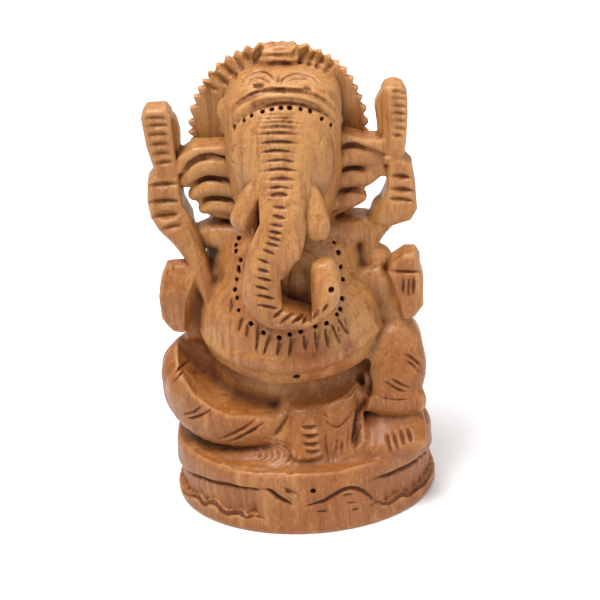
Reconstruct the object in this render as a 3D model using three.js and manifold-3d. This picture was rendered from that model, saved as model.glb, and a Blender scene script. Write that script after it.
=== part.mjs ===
// A seated, four-armed elephant-headed figure, carved by hand from one block of pale wood together with
// its oval plinth and the toothed halo behind its head. Everything is one solid: the arms stand free of
// the head and meet it again only where the hands touch the fan-shaped ears.
// Millimetres, +Z up. The figure faces -Y, and the origin is the middle of the plinth's flat underside.
import * as THREE from "three";
import { mergeVertices } from "three/addons/utils/BufferGeometryUtils.js";
import Module from "manifold-3d";

const wasm = await Module();
wasm.setup();

// Driving dimensions
const totalHeight = 127;
const plinth = { x: 0.6, halfWidth: 35.3, halfDepth: 28.8, rimZ: 19.2, lipZ: 13.2, lipDroop: 3, footZ: 4.6 };
const mouse = { at: [4.6, -25.4, 12.6], r: [10.5, 2.8, 4.4], turn: [0, -4, 0], angle: -81, reach: 26 };
const belly = { at: [-0.5, -1.5, 52], r: [24.8, 20.5, 21.3] };
const chest = { at: [-0.5, 0.5, 66.5], r: [19.5, 14.5, 14.5] };
const back = { left: -22, right: 20, bottom: 22, top: 77.2, front: 0.5, back: 14.6, bevel: 3 };
const shoulders = { y: 2.4, z: 75.4, halfHeight: 3.7, halfDepth: 6.2 };
const dome = { x: 0.5, y: 0, z: 110.4, halfWidth: 15.2, halfHeight: 11.2, halfRun: 1.6, power: 2.6 };
const halo = { x: -1.2, y: 7.8, radius: 23.5, thickness: 5.2, rim: 2, dish: 1.6 };
const teeth = { count: 49, saw: 1.8, bump: 1.2 };
// Stations of the trunk from the brow to its tip: x, y, z, half width and half depth.
const trunk = [
  [0.6, -9.6, 107, 8.5, 7.2],
  [0.5, -11, 100, 8.6, 7.4],
  [0, -14.6, 94, 7.4, 6.8],
  [-1.2, -18.6, 88, 6.3, 5.8],
  [-2.6, -21.2, 82, 6.4, 5.0],
  [-5.2, -22.4, 76, 5.6, 4.6],
  [-6.4, -22.6, 70.4, 5.4, 4.6],
  [-4.6, -22.8, 65.4, 4.6, 4.6],
  [0.4, -22.8, 63.2, 3.3, 4.6],
  [5.4, -22.8, 64.2, 3.3, 4.5],
  [9.2, -22.6, 68, 3.7, 4.4],
  [9.8, -22, 72, 3.9, 4.2],
  [9.6, -21.6, 74.6, 3.3, 3.6],
];

// Turns a geometry into a solid: only its positions, welded, with the faces pointing out.
function solidOf(geometry) {
  const bare = geometry.clone();
  for (const name of Object.keys(bare.attributes)) if (name !== "position") bare.deleteAttribute(name);
  const welded = mergeVertices(bare, 1e-4);
  const mesh = new wasm.Mesh({
    numProp: 3,
    vertProperties: new Float32Array(welded.attributes.position.array),
    triVerts: new Uint32Array(welded.index.array),
  });
  return new wasm.Manifold(mesh);
}

function geometryOf(solid) {
  const mesh = solid.getMesh();
  const geometry = new THREE.BufferGeometry();
  geometry.setAttribute("position", new THREE.BufferAttribute(new Float32Array(mesh.vertProperties), 3));
  geometry.setIndex(new THREE.BufferAttribute(new Uint32Array(mesh.triVerts), 1));
  return geometry;
}

const join = (pieces) => pieces.reduce((whole, piece) => whole.add(piece));

// The wood is solid throughout: a pocket or a crumb left between overlapping shapes is not kept.
const soundWood = (solid) => solid.decompose().reduce((a, b) => (b.volume() > a.volume() ? b : a));

const vector = (p) => new THREE.Vector3(...p);
const degrees = THREE.MathUtils.degToRad;

// Turns in degrees about X, then Y, then Z, and a move.
function placed(geometry, at, turn = [0, 0, 0]) {
  const [x, y, z] = turn.map(degrees);
  const matrix = new THREE.Matrix4().makeRotationFromEuler(new THREE.Euler(x, y, z, "ZYX"));
  return geometry.applyMatrix4(matrix.setPosition(...at));
}

// An ellipsoid.
function egg({ at, r, turn = [0, 0, 0] }, around = 8, down = 6) {
  const ball = new THREE.SphereGeometry(1, around, down).rotateX(Math.PI / 2).scale(...r);
  return solidOf(placed(ball, at, turn));
}

// A board cut to an outline of [x, z] points, from its front face at one y to its back at another.
function plank(outline, [front, back], bevel = 0.9) {
  const shape = new THREE.Shape(outline.map(([x, z]) => new THREE.Vector2(x, z)));
  const depth = back - front - 2 * bevel;
  const board = new THREE.ExtrudeGeometry(shape, {
    depth,
    bevelSize: bevel,
    bevelThickness: bevel,
    bevelOffset: -bevel,
    bevelSegments: 1,
  });
  return solidOf(board.rotateX(Math.PI / 2).translate(0, back - bevel, 0));
}

// A flat taken off with a knife: all that lies beyond a plane, as far as the reach of the cut.
function shaved(solid, at, facing, reach) {
  const block = new THREE.BoxGeometry(...reach);
  const out = vector(facing).normalize();
  const turn = new THREE.Quaternion().setFromUnitVectors(new THREE.Vector3(0, -1, 0), out);
  const middle = vector(at).addScaledVector(out, reach[1] / 2);
  return solid.subtract(solidOf(block.applyQuaternion(turn).translate(...middle)));
}

// A closed skin over rings of points that hold the same number of points, with a point at each end.
function skin(loops, startTip, endTip) {
  const n = loops[0].length;
  const points = [...loops.flat(), startTip, endTip];
  const faces = [];
  for (let i = 0; i + 1 < loops.length; i++) {
    for (let j = 0; j < n; j++) {
      const [a, b] = [i * n + j, i * n + ((j + 1) % n)];
      faces.push(a, b, b + n, a, b + n, a + n);
    }
  }
  const last = (loops.length - 1) * n;
  for (let j = 0; j < n; j++) {
    faces.push((j + 1) % n, j, points.length - 2);
    faces.push(last + j, last + ((j + 1) % n), points.length - 1);
  }
  const geometry = new THREE.BufferGeometry().setFromPoints(points);
  geometry.setIndex(faces);
  return solidOf(geometry);
}

// A limb along a smooth line through its stations [x, y, z, half width, half depth], with rounded ends.
// Its section is an oval at power 2, and squarer above that.
function limb(stations, { wide = [1, 0, 0], around = 7, perSpan = 1, power = 2 } = {}) {
  const path = new THREE.CatmullRomCurve3(stations.map((s) => vector(s.slice(0, 3))));
  const spans = stations.length - 1;
  const steps = spans * perSpan;
  const squared = (v) => Math.sign(v) * Math.abs(v) ** (2 / power);
  const ringAt = (t, beyond, share) => {
    const along = path.getTangent(t);
    const side = vector(wide).addScaledVector(along, -along.dot(vector(wide))).normalize();
    const out = along.clone().cross(side);
    const k = Math.min(Math.floor(t * spans), spans - 1);
    const mix = t * spans - k;
    const halfAt = (i) => THREE.MathUtils.lerp(stations[k][i], stations[k + 1][i], mix);
    const [halfWide, halfDeep] = [halfAt(3), halfAt(4)];
    const centre = path.getPoint(t).addScaledVector(along, beyond * Math.min(halfWide, halfDeep));
    const ring = [];
    for (let j = 0; j < around; j++) {
      const turn = (2 * Math.PI * j) / around;
      ring.push(
        centre
          .clone()
          .addScaledVector(side, squared(Math.cos(turn)) * halfWide * share)
          .addScaledVector(out, squared(Math.sin(turn)) * halfDeep * share),
      );
    }
    return { ring, centre };
  };
  const loops = [ringAt(0, -0.6, 0.78).ring];
  for (let i = 0; i <= steps; i++) loops.push(ringAt(i / steps, 0, 1).ring);
  loops.push(ringAt(1, 0.6, 0.78).ring);
  return skin(loops, ringAt(0, -0.95, 0).centre, ringAt(1, 0.95, 0).centre);
}

// A tool mark along points on the skin: pointed at both ends, a V across, and deepest in its middle.
// Each point holds where it is and which way leads into the wood.
function stroke(points, width, depth) {
  const places = points.map((p) => vector(p.at));
  const loops = places.slice(1, -1).map((place, i) => {
    const along = places[i + 2].clone().sub(places[i]).normalize();
    const out = vector(points[i + 1].inward).negate();
    out.addScaledVector(along, -out.dot(along)).normalize();
    const side = out.clone().cross(along);
    const share = Math.sin((Math.PI * (i + 1)) / (places.length - 1));
    const corner = (s, o) =>
      place.clone().addScaledVector(side, (s * share * width) / 2).addScaledVector(out, o * share * depth);
    return [corner(1, 0), corner(0, 1), corner(-1, 0), corner(0, -1)];
  });
  return skin(loops, places[0], places.at(-1));
}

// Finds the skin of a solid from the front, so that marks can be set out by x and z alone.
function frontOf(solid) {
  const mesh = new THREE.Mesh(geometryOf(solid), new THREE.MeshBasicMaterial({ side: THREE.DoubleSide }));
  const ray = new THREE.Raycaster();
  return (x, z) => {
    ray.set(new THREE.Vector3(x, -100, z), new THREE.Vector3(0, 1, 0));
    const hit = ray.intersectObject(mesh)[0];
    if (!hit) throw new Error(`no wood at ${x}, ${z}`);
    return { at: hit.point.toArray(), inward: hit.face.normal.clone().negate().toArray() };
  };
}

// A stroke over the front along a smooth line through [x, z] points.
function strokeOn(front, line, width, depth, samples = 3) {
  const path = new THREE.CatmullRomCurve3(line.map(([x, z]) => new THREE.Vector3(x, 0, z)));
  return stroke(path.getPoints(samples - 1).map((p) => front(p.x, p.z)), width, depth);
}

// A pointed pit, as a drill or the corner of a chisel leaves.
function pit({ at, inward }, radius, depth, sides = 3) {
  const lift = 0.3;
  const cone = new THREE.ConeGeometry(radius, depth + lift, sides);
  const turn = new THREE.Quaternion().setFromUnitVectors(new THREE.Vector3(0, 1, 0), vector(inward));
  const middle = vector(at).addScaledVector(vector(inward), (depth - lift) / 2);
  return solidOf(cone.applyQuaternion(turn).translate(...middle));
}

// The oval plinth. Its top rises from a rounded rim to the figure. Its side is cut back between a lip,
// which droops towards the sides, and the foot, except in front, where a crude mouse is left standing.
function makePlinth() {
  const { halfWidth: w, halfDepth: d, rimZ, lipZ, footZ } = plinth;
  const profile = [
    [0, 0],
    [w - 1.1, 0],
    [w - 0.2, 1.3],
    [w - 0.3, footZ],
    [w - 1.6, footZ + 0.7],
    [w - 1.2, lipZ - 0.3],
    [w, lipZ + 0.7],
    [w - 0.2, rimZ - 2.2],
    [w - 1.6, rimZ - 0.3],
    [w * 0.9, rimZ - 0.7],
    [w * 0.7, rimZ + 2.2],
    [0, rimZ + 4.4],
  ].map(([r, z]) => new THREE.Vector2(r, z));
  const turned = new THREE.LatheGeometry(profile, 26).rotateX(Math.PI / 2);
  const places = turned.attributes.position;
  for (let i = 0; i < places.count; i++) {
    const [x, y, z] = [places.getX(i), places.getY(i), places.getZ(i)];
    if (z < footZ || z > lipZ + 1 || Math.hypot(x, y) < w / 2) continue;
    const off = Math.abs(THREE.MathUtils.radToDeg(Math.atan2(y, x)) - mouse.angle);
    const out = off < mouse.reach ? (w - 0.3) / Math.hypot(x, y) : 1;
    places.setXYZ(i, x * out, y * out, z > footZ ? z - plinth.lipDroop * (x / w) ** 2 : z);
  }
  return solidOf(turned.scale(1, d / w, 1).translate(plinth.x, 0, 0)).add(egg(mouse, 9, 5));
}

// Short scalloped cuts along the top of the plinth's foot, all the way round except below the mouse.
function plinthMarks() {
  const cuts = 13;
  const onSide = (turn, z) => ({
    at: [plinth.x + Math.cos(turn) * (plinth.halfWidth - 0.6), Math.sin(turn) * (plinth.halfDepth - 0.6), z],
    inward: [-Math.cos(turn), -Math.sin(turn), 0],
  });
  const marks = [];
  for (let i = 0; i < cuts; i++) {
    const [a, m, b] = [i, i + 0.46, i + 0.92].map((k) => degrees(mouse.angle + (360 * (k + 0.5)) / cuts));
    const clear = degrees(mouse.angle + mouse.reach);
    if (a < clear || b > clear + 2 * (Math.PI - degrees(mouse.reach))) continue;
    const z = plinth.footZ;
    marks.push(stroke([onSide(a, z - 1.2), onSide(m, z + 0.2), onSide(b, z + 0.6)], 2.2, 1.4));
  }
  return marks;
}

// Crossed leg on the viewer's left, a thigh with a near-level cushion cut into its front; the raised knee
// and foot on the right; and between them the cloth, which hangs in a point over its folds.
function makeLegs() {
  const crossed = limb(
    [
      [-13, 6, 36, 11, 9],
      [-23, 1, 36.5, 10.5, 8.6],
      [-26.6, -4.6, 34.4, 11.8, 8.8],
      [-20.5, -11, 28.6, 7.8, 7],
      [-12.5, -13.2, 26.4, 6.2, 5.8],
      [-6.6, -13.6, 25.6, 4.8, 4.8],
    ],
    { wide: [0, 0, 1], around: 8, perSpan: 2, power: 2.8 },
  );
  const top = [[-40, 54], [-34, 47], [-30.6, 43], [-26.6, 37.4], [-22, 34], [-17, 32.4], [3, 30.6]];
  const aboveTop = plank([...top, [3, 54]], [-26, -3.6], 0.1);
  return join([
    crossed.subtract(aboveTop),
    egg({ at: [23.6, 0.5, 42], r: [9.6, 11.5, 10], turn: [0, 14, 0] }, 9, 6),
    limb([[25, -3.5, 43, 9, 8], [26, -7, 37.5, 8.4, 6.8], [25.2, -9.5, 31, 7, 5.6]], { around: 9 }),
    limb([[19.4, -11.4, 31.4, 3, 3.8], [31, -11.2, 30.4, 3, 3.8]], { wide: [0, 0, 1], power: 3 }),
    limb([[24.6, -9, 25, 8.6, 4.6], [25.6, -14, 22.8, 8.6, 3.8], [26.2, -18.5, 20.6, 7.8, 2.8]]),
    limb([[9, -11, 33, 8.5, 5], [8.6, -14.6, 27, 9, 4.6], [8, -19, 19, 11.4, 3.4]]),
    limb([[-1.6, -12, 31, 3.4, 4], [-1.4, -15.4, 26, 4.2, 4], [-1.2, -18, 20.6, 6.4, 3]]),
    limb([[9.8, -10, 37, 5.8, 4.2], [9.8, -12.6, 33, 5.6, 4.2], [9.5, -16.6, 27.6, 2.4, 2.4]], { power: 3 }),
    limb([[1.2, -13.4, 33, 3.4, 3], [1.7, -17.8, 27.6, 3.9, 2.8], [2.3, -21, 21.4, 4.4, 2.8]], { power: 3 }),
  ]);
}

// The broad body, flat behind, with the belly hung in front and cut back beneath, and a flat-topped ledge
// for the shoulders.
function makeBody() {
  const { y, z, halfHeight: h, halfDepth: d } = shoulders;
  const ledge = [
    [-23, y, z, h - 0.8, d - 2.4],
    [-12, y, z, h, d],
    [12, y, z, h, d],
    [21, y, z + 0.4, h - 0.6, d - 1.8],
  ];
  const nape = [[-21, 70], [-21.4, 77.4], [-19.6, 80.4], [-12, 82], [12, 82], [16.5, 80.6], [18.5, 70]];
  const torso = join([
    plank(
      [
        [back.left, back.bottom],
        [back.left, back.top - 5],
        [back.left + 4, back.top],
        [back.right - 3.4, back.top],
        [back.right, back.top - 7],
        [back.right, back.bottom],
      ],
      [back.front, back.back],
      back.bevel,
    ),
    limb(ledge, { wide: [0, 0, 1], around: 8, power: 3 }),
    plank(nape, [1, 8], 1.4),
    egg({ at: [0, 3, 36], r: [25, 16, 20] }, 9, 5),
    egg(belly, 14, 9),
    egg(chest, 10, 6),
    egg({ at: [-0.5, 2, 82], r: [13.5, 10.5, 11] }, 10, 5),
  ]);
  const underBelly = [
    [-23, -5, 43, 2, 2],
    [-18, -11, 40, 3.4, 3.4],
    [-9, -16, 37.2, 4, 4],
    [2, -17, 36.6, 4, 4],
    [12, -14.6, 38, 3.6, 3.6],
    [18, -10, 41, 2.4, 2.4],
  ];
  const flatBehind = shaved(torso, [0, back.back, 50], [0, 1, 0], [60, 20, 70]);
  return flatBehind.subtract(limb(underBelly, { wide: [0, 0, 1], around: 6 }));
}

// The pair of raised arms. Each is a rod that thins from the fist down to the shoulder, and the fist holds
// an emblem up beside the head: a front face and, set back towards the head, a narrower flank.
function raisedArms() {
  const leftEmblem = [
    [-35.7, 110.8], [-34.4, 112.8], [-29.4, 113], [-28.1, 111], [-27.4, 94], [-33, 94], [-33.7, 96.8],
    [-35, 103],
  ];
  const leftFist = [
    [-35.6, 92.8], [-33.6, 94.8], [-27.4, 94.4], [-26.6, 86], [-24.8, 81.8], [-24.6, 78.4], [-30.6, 76],
    [-33.8, 79], [-35.6, 82.6], [-36, 88],
  ];
  const rightEmblem = [
    [25.8, 114.4], [26.8, 116], [29.2, 116.6], [31.2, 115.8], [32.4, 113.4], [32.5, 109.4], [31.2, 98],
    [30.2, 96.6], [30, 95], [25.8, 95],
  ];
  const rightFist = [
    [26.8, 96.2], [30.7, 96.4], [33, 94.2], [33.7, 88], [33.8, 82], [32, 78.8], [26, 77.2], [22.4, 78.6],
    [24.2, 83.2], [26, 88],
  ];
  const leftFlank = [[-33.5, 110.4], [-28.8, 110.6], [-27.1, 108.4], [-26.6, 100.3], [-24.2, 94], [-32, 94]];
  const rightFlank = [[30, 113], [25.4, 113], [23.8, 110.4], [24.6, 100.6], [24, 95], [31, 95]];
  const leftArm = [
    [-30, 0, 81.5, 4.8, 4.6],
    [-27.4, -1, 77, 3.8, 4.4],
    [-24.8, -2.6, 71.4, 2.9, 3.8],
    [-21.4, -5.4, 59.4, 1.7, 2.6],
  ];
  const rightArm = [
    [25.2, 1, 80, 3.8, 4.4],
    [22.8, 1.4, 75.6, 2.7, 4.2],
    [21, 1.8, 71.6, 2.7, 4.6],
    [20, 2, 64, 3.2, 5],
  ];
  return join([
    limb(leftArm, { power: 2.6 }),
    plank(leftFist, [-3.8, 5], 1.1),
    plank(leftEmblem, [-3.4, 4]),
    plank(leftFlank, [-0.5, 5.4]),
    limb(rightArm),
    egg({ at: [22.9, 0.2, 67], r: [3.8, 4.4, 3.8] }, 7, 5),
    plank(rightFist, [-3.8, 5], 1.1),
    shaved(plank(rightEmblem, [-3.4, 4]), [26.9, -2.6, 108], [-1, -1.4, 0], [8, 6, 40]),
    plank(rightFlank, [-0.5, 5.4]),
  ]);
}

// The open palm on the left and the hand that holds a sweet on the right, both faceted with the knife,
// and the forearms that carry them.
function lowerHands() {
  const palm = [
    [-32.4, 69.8], [-27.4, 70.1], [-24.4, 66.6], [-23.4, 59], [-24.6, 52.6], [-27.6, 50.6], [-32, 51],
    [-34.7, 54.8], [-35, 62], [-34, 66.4],
  ];
  const holding = [[25.6, 67], [33.9, 67], [34.7, 64.7], [34.4, 56.6], [32, 53.4], [29.4, 52.8], [25.6, 62]];
  const sweet = [[25.8, 66.4], [26.6, 69.4], [30, 71.8], [32.8, 71.7], [34, 69.6], [34, 66.4]];
  const leftForearm = [[-19, 67], [-24.6, 67.6], [-27, 62], [-29.6, 54], [-29, 47], [-19, 46]];
  const rightForearm = [[17, 66], [23.6, 67.4], [26.4, 63], [29.4, 53.6], [28.4, 49.6], [23, 47.6], [17, 48]];
  const facets = [
    [[-30, -8.8, 62.6], [-0.12, -1, 0.42]],
    [[-30, -8.8, 61.6], [-0.25, -1, -0.16]],
    [[-27.6, -8, 59], [1, -0.8, -0.28]],
  ];
  const cutPalm = (hand, [at, facing]) => shaved(hand, at, facing, [40, 12, 40]);
  return join([
    facets.reduce(cutPalm, plank(palm, [-8.8, -0.5], 1.2)),
    plank(leftForearm, [-5.2, 7], 1.6),
    shaved(plank(holding, [-9.2, 0], 1.4), [27.6, -8.6, 60], [-1, -0.7, -0.25], [24, 10, 24]),
    plank(sweet, [-8.8, -1.4], 1),
    plank(rightForearm, [-6.6, 7], 1.6),
  ]);
}

// The ears are fans: a plain panel that reaches the raised hand, a flat top, and three rolled folds on the
// front, stepping down towards the cheek.
function makeEars() {
  const leftPanel = [
    [-12, 102], [-23, 102], [-27, 99.4], [-27.8, 92.4], [-27.2, 90.4], [-24.8, 90], [-23.2, 85.6],
    [-20.4, 82], [-12, 79.6],
  ];
  const leftTop = [
    [-12, 102], [-23, 102], [-27.2, 99.4], [-28, 94.4], [-26, 94.8], [-24.6, 98], [-21.6, 99.8],
    [-18.4, 100.2], [-12, 98.8],
  ];
  const rightPanel = [
    [11, 103.4], [16.6, 103.4], [20.5, 101.8], [26.4, 101.4], [26.6, 91.2], [24.6, 91], [20.6, 88],
    [19.6, 84.4], [11, 80],
  ];
  const rightTop = [
    [11, 103.6], [16.6, 103.6], [20.6, 102], [26, 101.6], [26, 98], [21.6, 99.6], [18.6, 100.6], [11, 100.4],
  ];
  const rolls = [
    [[-25.8, 0, 92.2, 2.2, 2.6], [-23, -0.4, 95.2, 3, 3.2], [-18.8, -0.8, 96.6, 3, 3.4], [-12, -1, 95, 3, 3]],
    [[-23.6, 0, 88, 1.9, 2.6], [-20.8, -0.6, 90.2, 2.7, 3.2], [-12, -1, 89.4, 2.8, 3.4]],
    [[-21.4, 0, 84, 1.7, 2.4], [-18.6, -0.6, 85.2, 2.4, 3], [-11, -1, 83.6, 2.6, 3.2]],
    [[11, -1, 97, 3, 3], [17.2, -0.9, 97.6, 3.1, 3.4], [21, -0.2, 96.8, 2.7, 2.8], [24, 0.8, 95.6, 2.2, 2.4]],
    [[11, -1, 91, 2.9, 3.4], [17, -0.9, 91.6, 2.9, 3.4], [22.4, 0.4, 91.4, 2.2, 2.6]],
    [[11, -1, 85, 2.7, 3.4], [16, -0.9, 85.4, 2.7, 3.2], [18.8, -0.2, 85.6, 2.1, 2.6]],
  ];
  return join([
    plank(leftPanel, [-1.6, 4.4], 0.8),
    plank(leftTop, [-3.2, 4.4], 0.5),
    plank(rightPanel, [-1.8, 4.4], 0.8),
    plank(rightTop, [-3, 4.4], 0.5),
    ...rolls.map((roll) => limb(roll, { wide: [0, 0, 1], around: 6 })),
  ]);
}

// The barrel of the head, the boxy trunk that drops over the belly and curls back to its tip, with a ridge
// down its flank and wood left in its curl, and two broad tusks.
function makeHead() {
  const barrel = [
    [-0.2, -2, 84.5, 11.5, 9],
    [0, -3, 90, 13.6, 11.5],
    [0.2, -4, 97, 14.7, 13.4],
    [0.4, -4, 104, 14.9, 13.6],
    [0.5, -2.8, 108.6, 14.6, 12.2],
    [0.5, -1.2, 112, 13.2, 9.2],
  ];
  const squareToFront = trunk.map(([x, y, z, halfWidth, halfDepth]) => [x, y, z, halfDepth, halfWidth]);
  const leftTusk = [[-7, -15.4, 95.4, 2.2, 2.4], [-8.8, -16.2, 92.4, 3.1, 3.2], [-10.8, -17.2, 88, 2.6, 3]];
  const rightTusk = [[7, -15.4, 94.4, 2, 2.4], [7.6, -16.2, 91, 3, 3.2], [8.1, -17.5, 85.2, 3.1, 3.3]];
  const flank = [[3.6, -16.6, 92.6, 1.8, 2.6], [3.2, -20.4, 86.4, 2.5, 3], [2, -23, 80, 2.4, 3.2]];
  return join([
    limb(barrel, { around: 12 }),
    limb(squareToFront, { wide: [0, -1, 0], around: 8, power: 2.7 }),
    limb(flank, { around: 6 }),
    egg({ at: [2.4, -15.4, 69], r: [6.5, 4.8, 7.5] }, 8, 5),
    limb(leftTusk, { power: 3, around: 6 }),
    limb(rightTusk, { power: 3, around: 6 }),
  ]);
}

// The crown: a domed cap over a rounded brow band, a rosette at each temple and a ribbed knot behind.
function makeCrown() {
  const { x, y, z, halfWidth, halfHeight, halfRun, power } = dome;
  const cap = [-halfRun, halfRun].map((run) => [x, y + run, z, halfWidth, halfHeight]);
  const band = 1.5;
  const bandLine = [
    [-14.4, -1.5, 106.4],
    [-13.4, -4.5, 110],
    [-10.6, -7.4, 113.8],
    [-6.6, -9.4, 116.6],
    [0.7, -10.8, 118.3],
    [8.4, -10, 116.6],
    [12.2, -8, 113.8],
    [14.6, -5, 110.6],
    [15.6, -2, 107.6],
  ];
  const rosette = (at) => egg({ at, r: [1.8, 2.6, 3.2] }, 6, 5);
  const rib = ([level, half, deep]) =>
    limb([[-3.4, deep, level, half, 1.8], [3.8, deep, level, half, 1.8]], { wide: [0, 0, 1], around: 6 });
  return join([
    limb(cap, { around: 14, power }),
    limb(bandLine.map((p) => [...p, band, band]), { wide: [0, 0, 1], around: 6 }),
    rosette([-14.2, -3, 112]),
    rosette([14.4, -3.4, 112.6]),
    plank([[-5, 112], [-4.8, 123.6], [-3.4, 125.4], [3.8, 125.4], [5.2, 123.6], [5.2, 112]], [4.2, 7.2], 1.2),
    ...[[118.6, 1.6, 4], [121.4, 1.6, 4.4], [124, 1.4, 4.8]].map(rib),
  ]);
}

// The halo: a disc slightly dished in front and thinned behind towards its rim, which has saw teeth that
// lean upwards on the viewer's left and blunter ones on the right.
function makeHalo() {
  const { x, y, radius, thickness, rim, dish } = halo;
  const outline = [];
  const corner = (place, r) => {
    const turn = (2 * Math.PI * place) / teeth.count + Math.PI / 2;
    outline.push(new THREE.Vector2(Math.cos(turn) * r, Math.sin(turn) * r));
  };
  for (let i = 0; i < teeth.count; i++) {
    const leftSide = i < teeth.count / 2;
    corner(i, radius);
    corner(i + (leftSide ? 0.66 : 0.5), radius - (leftSide ? teeth.saw : teeth.bump));
  }
  const shape = new THREE.Shape(outline);
  const toothed = new THREE.ExtrudeGeometry(shape, { depth: 2 * thickness, bevelEnabled: false });
  const profile = [
    [0, dish],
    [radius * 0.55, dish * 0.7],
    [radius + 1, 0],
    [radius + 1, rim],
    [radius * 0.62, thickness],
    [0, thickness],
  ].map(([r, deep]) => new THREE.Vector2(r, deep));
  const disc = new THREE.LatheGeometry(profile, 12);
  const z = totalHeight - radius;
  return solidOf(placed(toothed.rotateX(Math.PI / 2), [x, y + thickness, z])).intersect(
    solidOf(placed(disc, [x, y - thickness / 2, z])),
  );
}

// The marks that read from a step away, set out by x and z over the front of the finished form.
function frontMarks(front) {
  const marks = [];
  const cut = (lines, width, depth, samples) =>
    marks.push(...lines.map((line) => strokeOn(front, line, width, depth, samples)));
  const drill = (spots, radius, depth, sides) =>
    marks.push(...spots.map(([x, z]) => pit(front(x, z), radius, depth, sides)));
  const rows = (count, line) => Array.from({ length: count }, (_, i) => line(i));

  // Rings across the brow, then across the trunk, square to its run and shorter as it narrows.
  const brow = [112.4, 110.6, 108.4, 105.8, 103, 100.2];
  cut(brow.map((z, i) => [[-5.6 + 0.3 * i, z], [6.6 - 0.4 * i, z]]), 1.3, 1);
  const run = new THREE.CatmullRomCurve3(trunk.map((s) => new THREE.Vector3(s[0], 0, s[2])));
  const [first, last, count] = [0.14, 0.8, 16];
  for (let i = 0; i < count; i++) {
    const t = i / (count - 1);
    const place = run.getPointAt(first + (last - first) * t);
    const along = run.getTangentAt(first + (last - first) * t);
    const half = 3 + 1.4 * (1 - t) ** 2;
    const end = (reach) => [place.x - along.z * (reach - t), place.z + along.x * (reach - t)];
    cut([[end(-half), end(half)]], 1.3, 1);
  }

  // The drilled necklace that hangs in a U on the chest, and the drilled row under the brow band.
  const string = new THREE.CatmullRomCurve3(
    [[-13, 76], [-13.8, 68], [-11, 59.6], [-3, 56], [6.5, 57.8], [13, 61], [14.2, 66], [12.8, 73]].map(
      ([x, z]) => new THREE.Vector3(x, 0, z),
    ),
  );
  drill(string.getSpacedPoints(23).map((p) => [p.x, p.z]), 0.9, 1.3);
  drill(rows(11, (i) => [-11 + 2.4 * i, 115.2 - 0.046 * (-12 + 2.4 * i) ** 2]), 0.8, 1.2);

  // Eyes, navel, and the two arched lines with a chisel pit each on the crown.
  cut([[[-13.4, 103.4], [-11.4, 106.4]], [[-11.4, 106.4], [-9, 103.6]]], 0.8, 0.6);
  cut([[[10.2, 105], [11.4, 107.6]], [[11.4, 107.6], [12.8, 105]]], 0.8, 0.6);
  drill([[0.6, 43.4]], 1.1, 1.6, 6);
  cut([[[-10, 118.4], [-5.4, 120.4], [-1, 120.2]], [[1.6, 120.2], [6, 120.2], [10.8, 118]]], 1.2, 0.8, 4);
  drill([[-4.8, 119.2], [7, 118.8]], 1.3, 1.2, 3);

  // Grooves over the emblems and between the fingers.
  cut(rows(6, (i) => [[-34.8 + 0.3 * i, 110.4 - 2.6 * i], [-28.8, 110.6 - 2.5 * i]]), 1.5, 1.1);
  cut(rows(7, (i) => [[28.6 - 0.08 * i, 114 - 2.2 * i], [32.2 - 0.14 * i, 113.6 - 2.2 * i]]), 1.1, 0.8);
  cut(rows(4, (i) => [[-35.2 + 0.22 * i * i, 92 - 4.1 * i], [-27.6, 92.4 - 3.9 * i]]), 1.8, 1.4);
  cut(rows(3, (i) => [[27 - 0.2 * i, 92 - 3.2 * i], [33.2, 91.2 - 3.3 * i]]), 1.8, 1.4);
  cut([[[26.4, 66.8], [33.7, 66.8]]], 1, 0.9);
  cut(rows(3, (i) => [[29.7 + 1.3 * i, 65.2], [29.7 + 1.1 * i, 58]]), 1, 0.9);

  // Folds of the cloth on both legs, the notch by the crossed foot, the pleats, and the toes.
  cut([[[-33.4, 37.2], [-29, 42]], [[-31.6, 27], [-26, 29.6]], [[-31.6, 25.6], [-25, 29]]], 1, 0.8);
  cut([[[-22, 23], [-16.4, 25.6], [-10.4, 30]], [[-18.6, 22.4], [-13, 25.6], [-8.6, 29.4]]], 1.1, 0.9, 4);
  cut([[[-2.6, 30.6], [-7, 23]]], 2.6, 1.6);
  cut([[[28.3, 42.6], [33.2, 36.9]], [[30.4, 43], [33.8, 38]]], 1, 0.8);
  cut([[[22.8, 38.5], [29.9, 34.6]], [[24.3, 39.4], [30.6, 35.6]]], 1.1, 0.9);
  cut(rows(4, (i) => [[0.8 + 0.2 * i, 29.6 - 2.2 * i], [5 + 0.2 * i, 29.6 - 2.2 * i]]), 1.2, 0.9);
  cut(rows(4, (i) => [[23 + 1.9 * i, 23], [24.2 + 1.9 * i, 20]]), 0.8, 0.8);

  // The mouse: its belly and tail in one wavy line, an eye, a slit before it and gouges below.
  const bellyAndTail = [
    [-12, 12.7], [-8.9, 12.6], [-5.3, 10.3], [-0.8, 7.7], [5, 8.8], [10.8, 11.4], [15.1, 11.7], [18, 10],
  ];
  cut([bellyAndTail], 1.7, 1.2, 8);
  drill([[3.5, 12.7]], 0.8, 1.1);
  cut([[[-4.7, 13.8], [-0.6, 12]], [[3, 6.4], [8.6, 5.9]], [[10.7, 9.6], [15, 8.4]]], 1.2, 0.8);
  return marks;
}

// Marks that can't be seen level from the front: flutes across the halo.
function haloFlutes() {
  const centre = totalHeight - halo.radius;
  return [-45, -38, -22, 24, 33].map((angle) => {
    const [across, up] = [Math.sin(degrees(angle)), Math.cos(degrees(angle))];
    const at = (r) => ({
      at: [halo.x + across * r, halo.y - halo.thickness / 2, centre + up * r],
      inward: [0, 1, 0],
    });
    return stroke([at(16), at(20.6), at(24.4)], 3, 1.5);
  });
}

const carved = join([
  makePlinth(),
  makeLegs(),
  makeBody(),
  raisedArms(),
  lowerHands(),
  makeEars(),
  makeHead(),
  makeCrown(),
  makeHalo(),
]);

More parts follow.
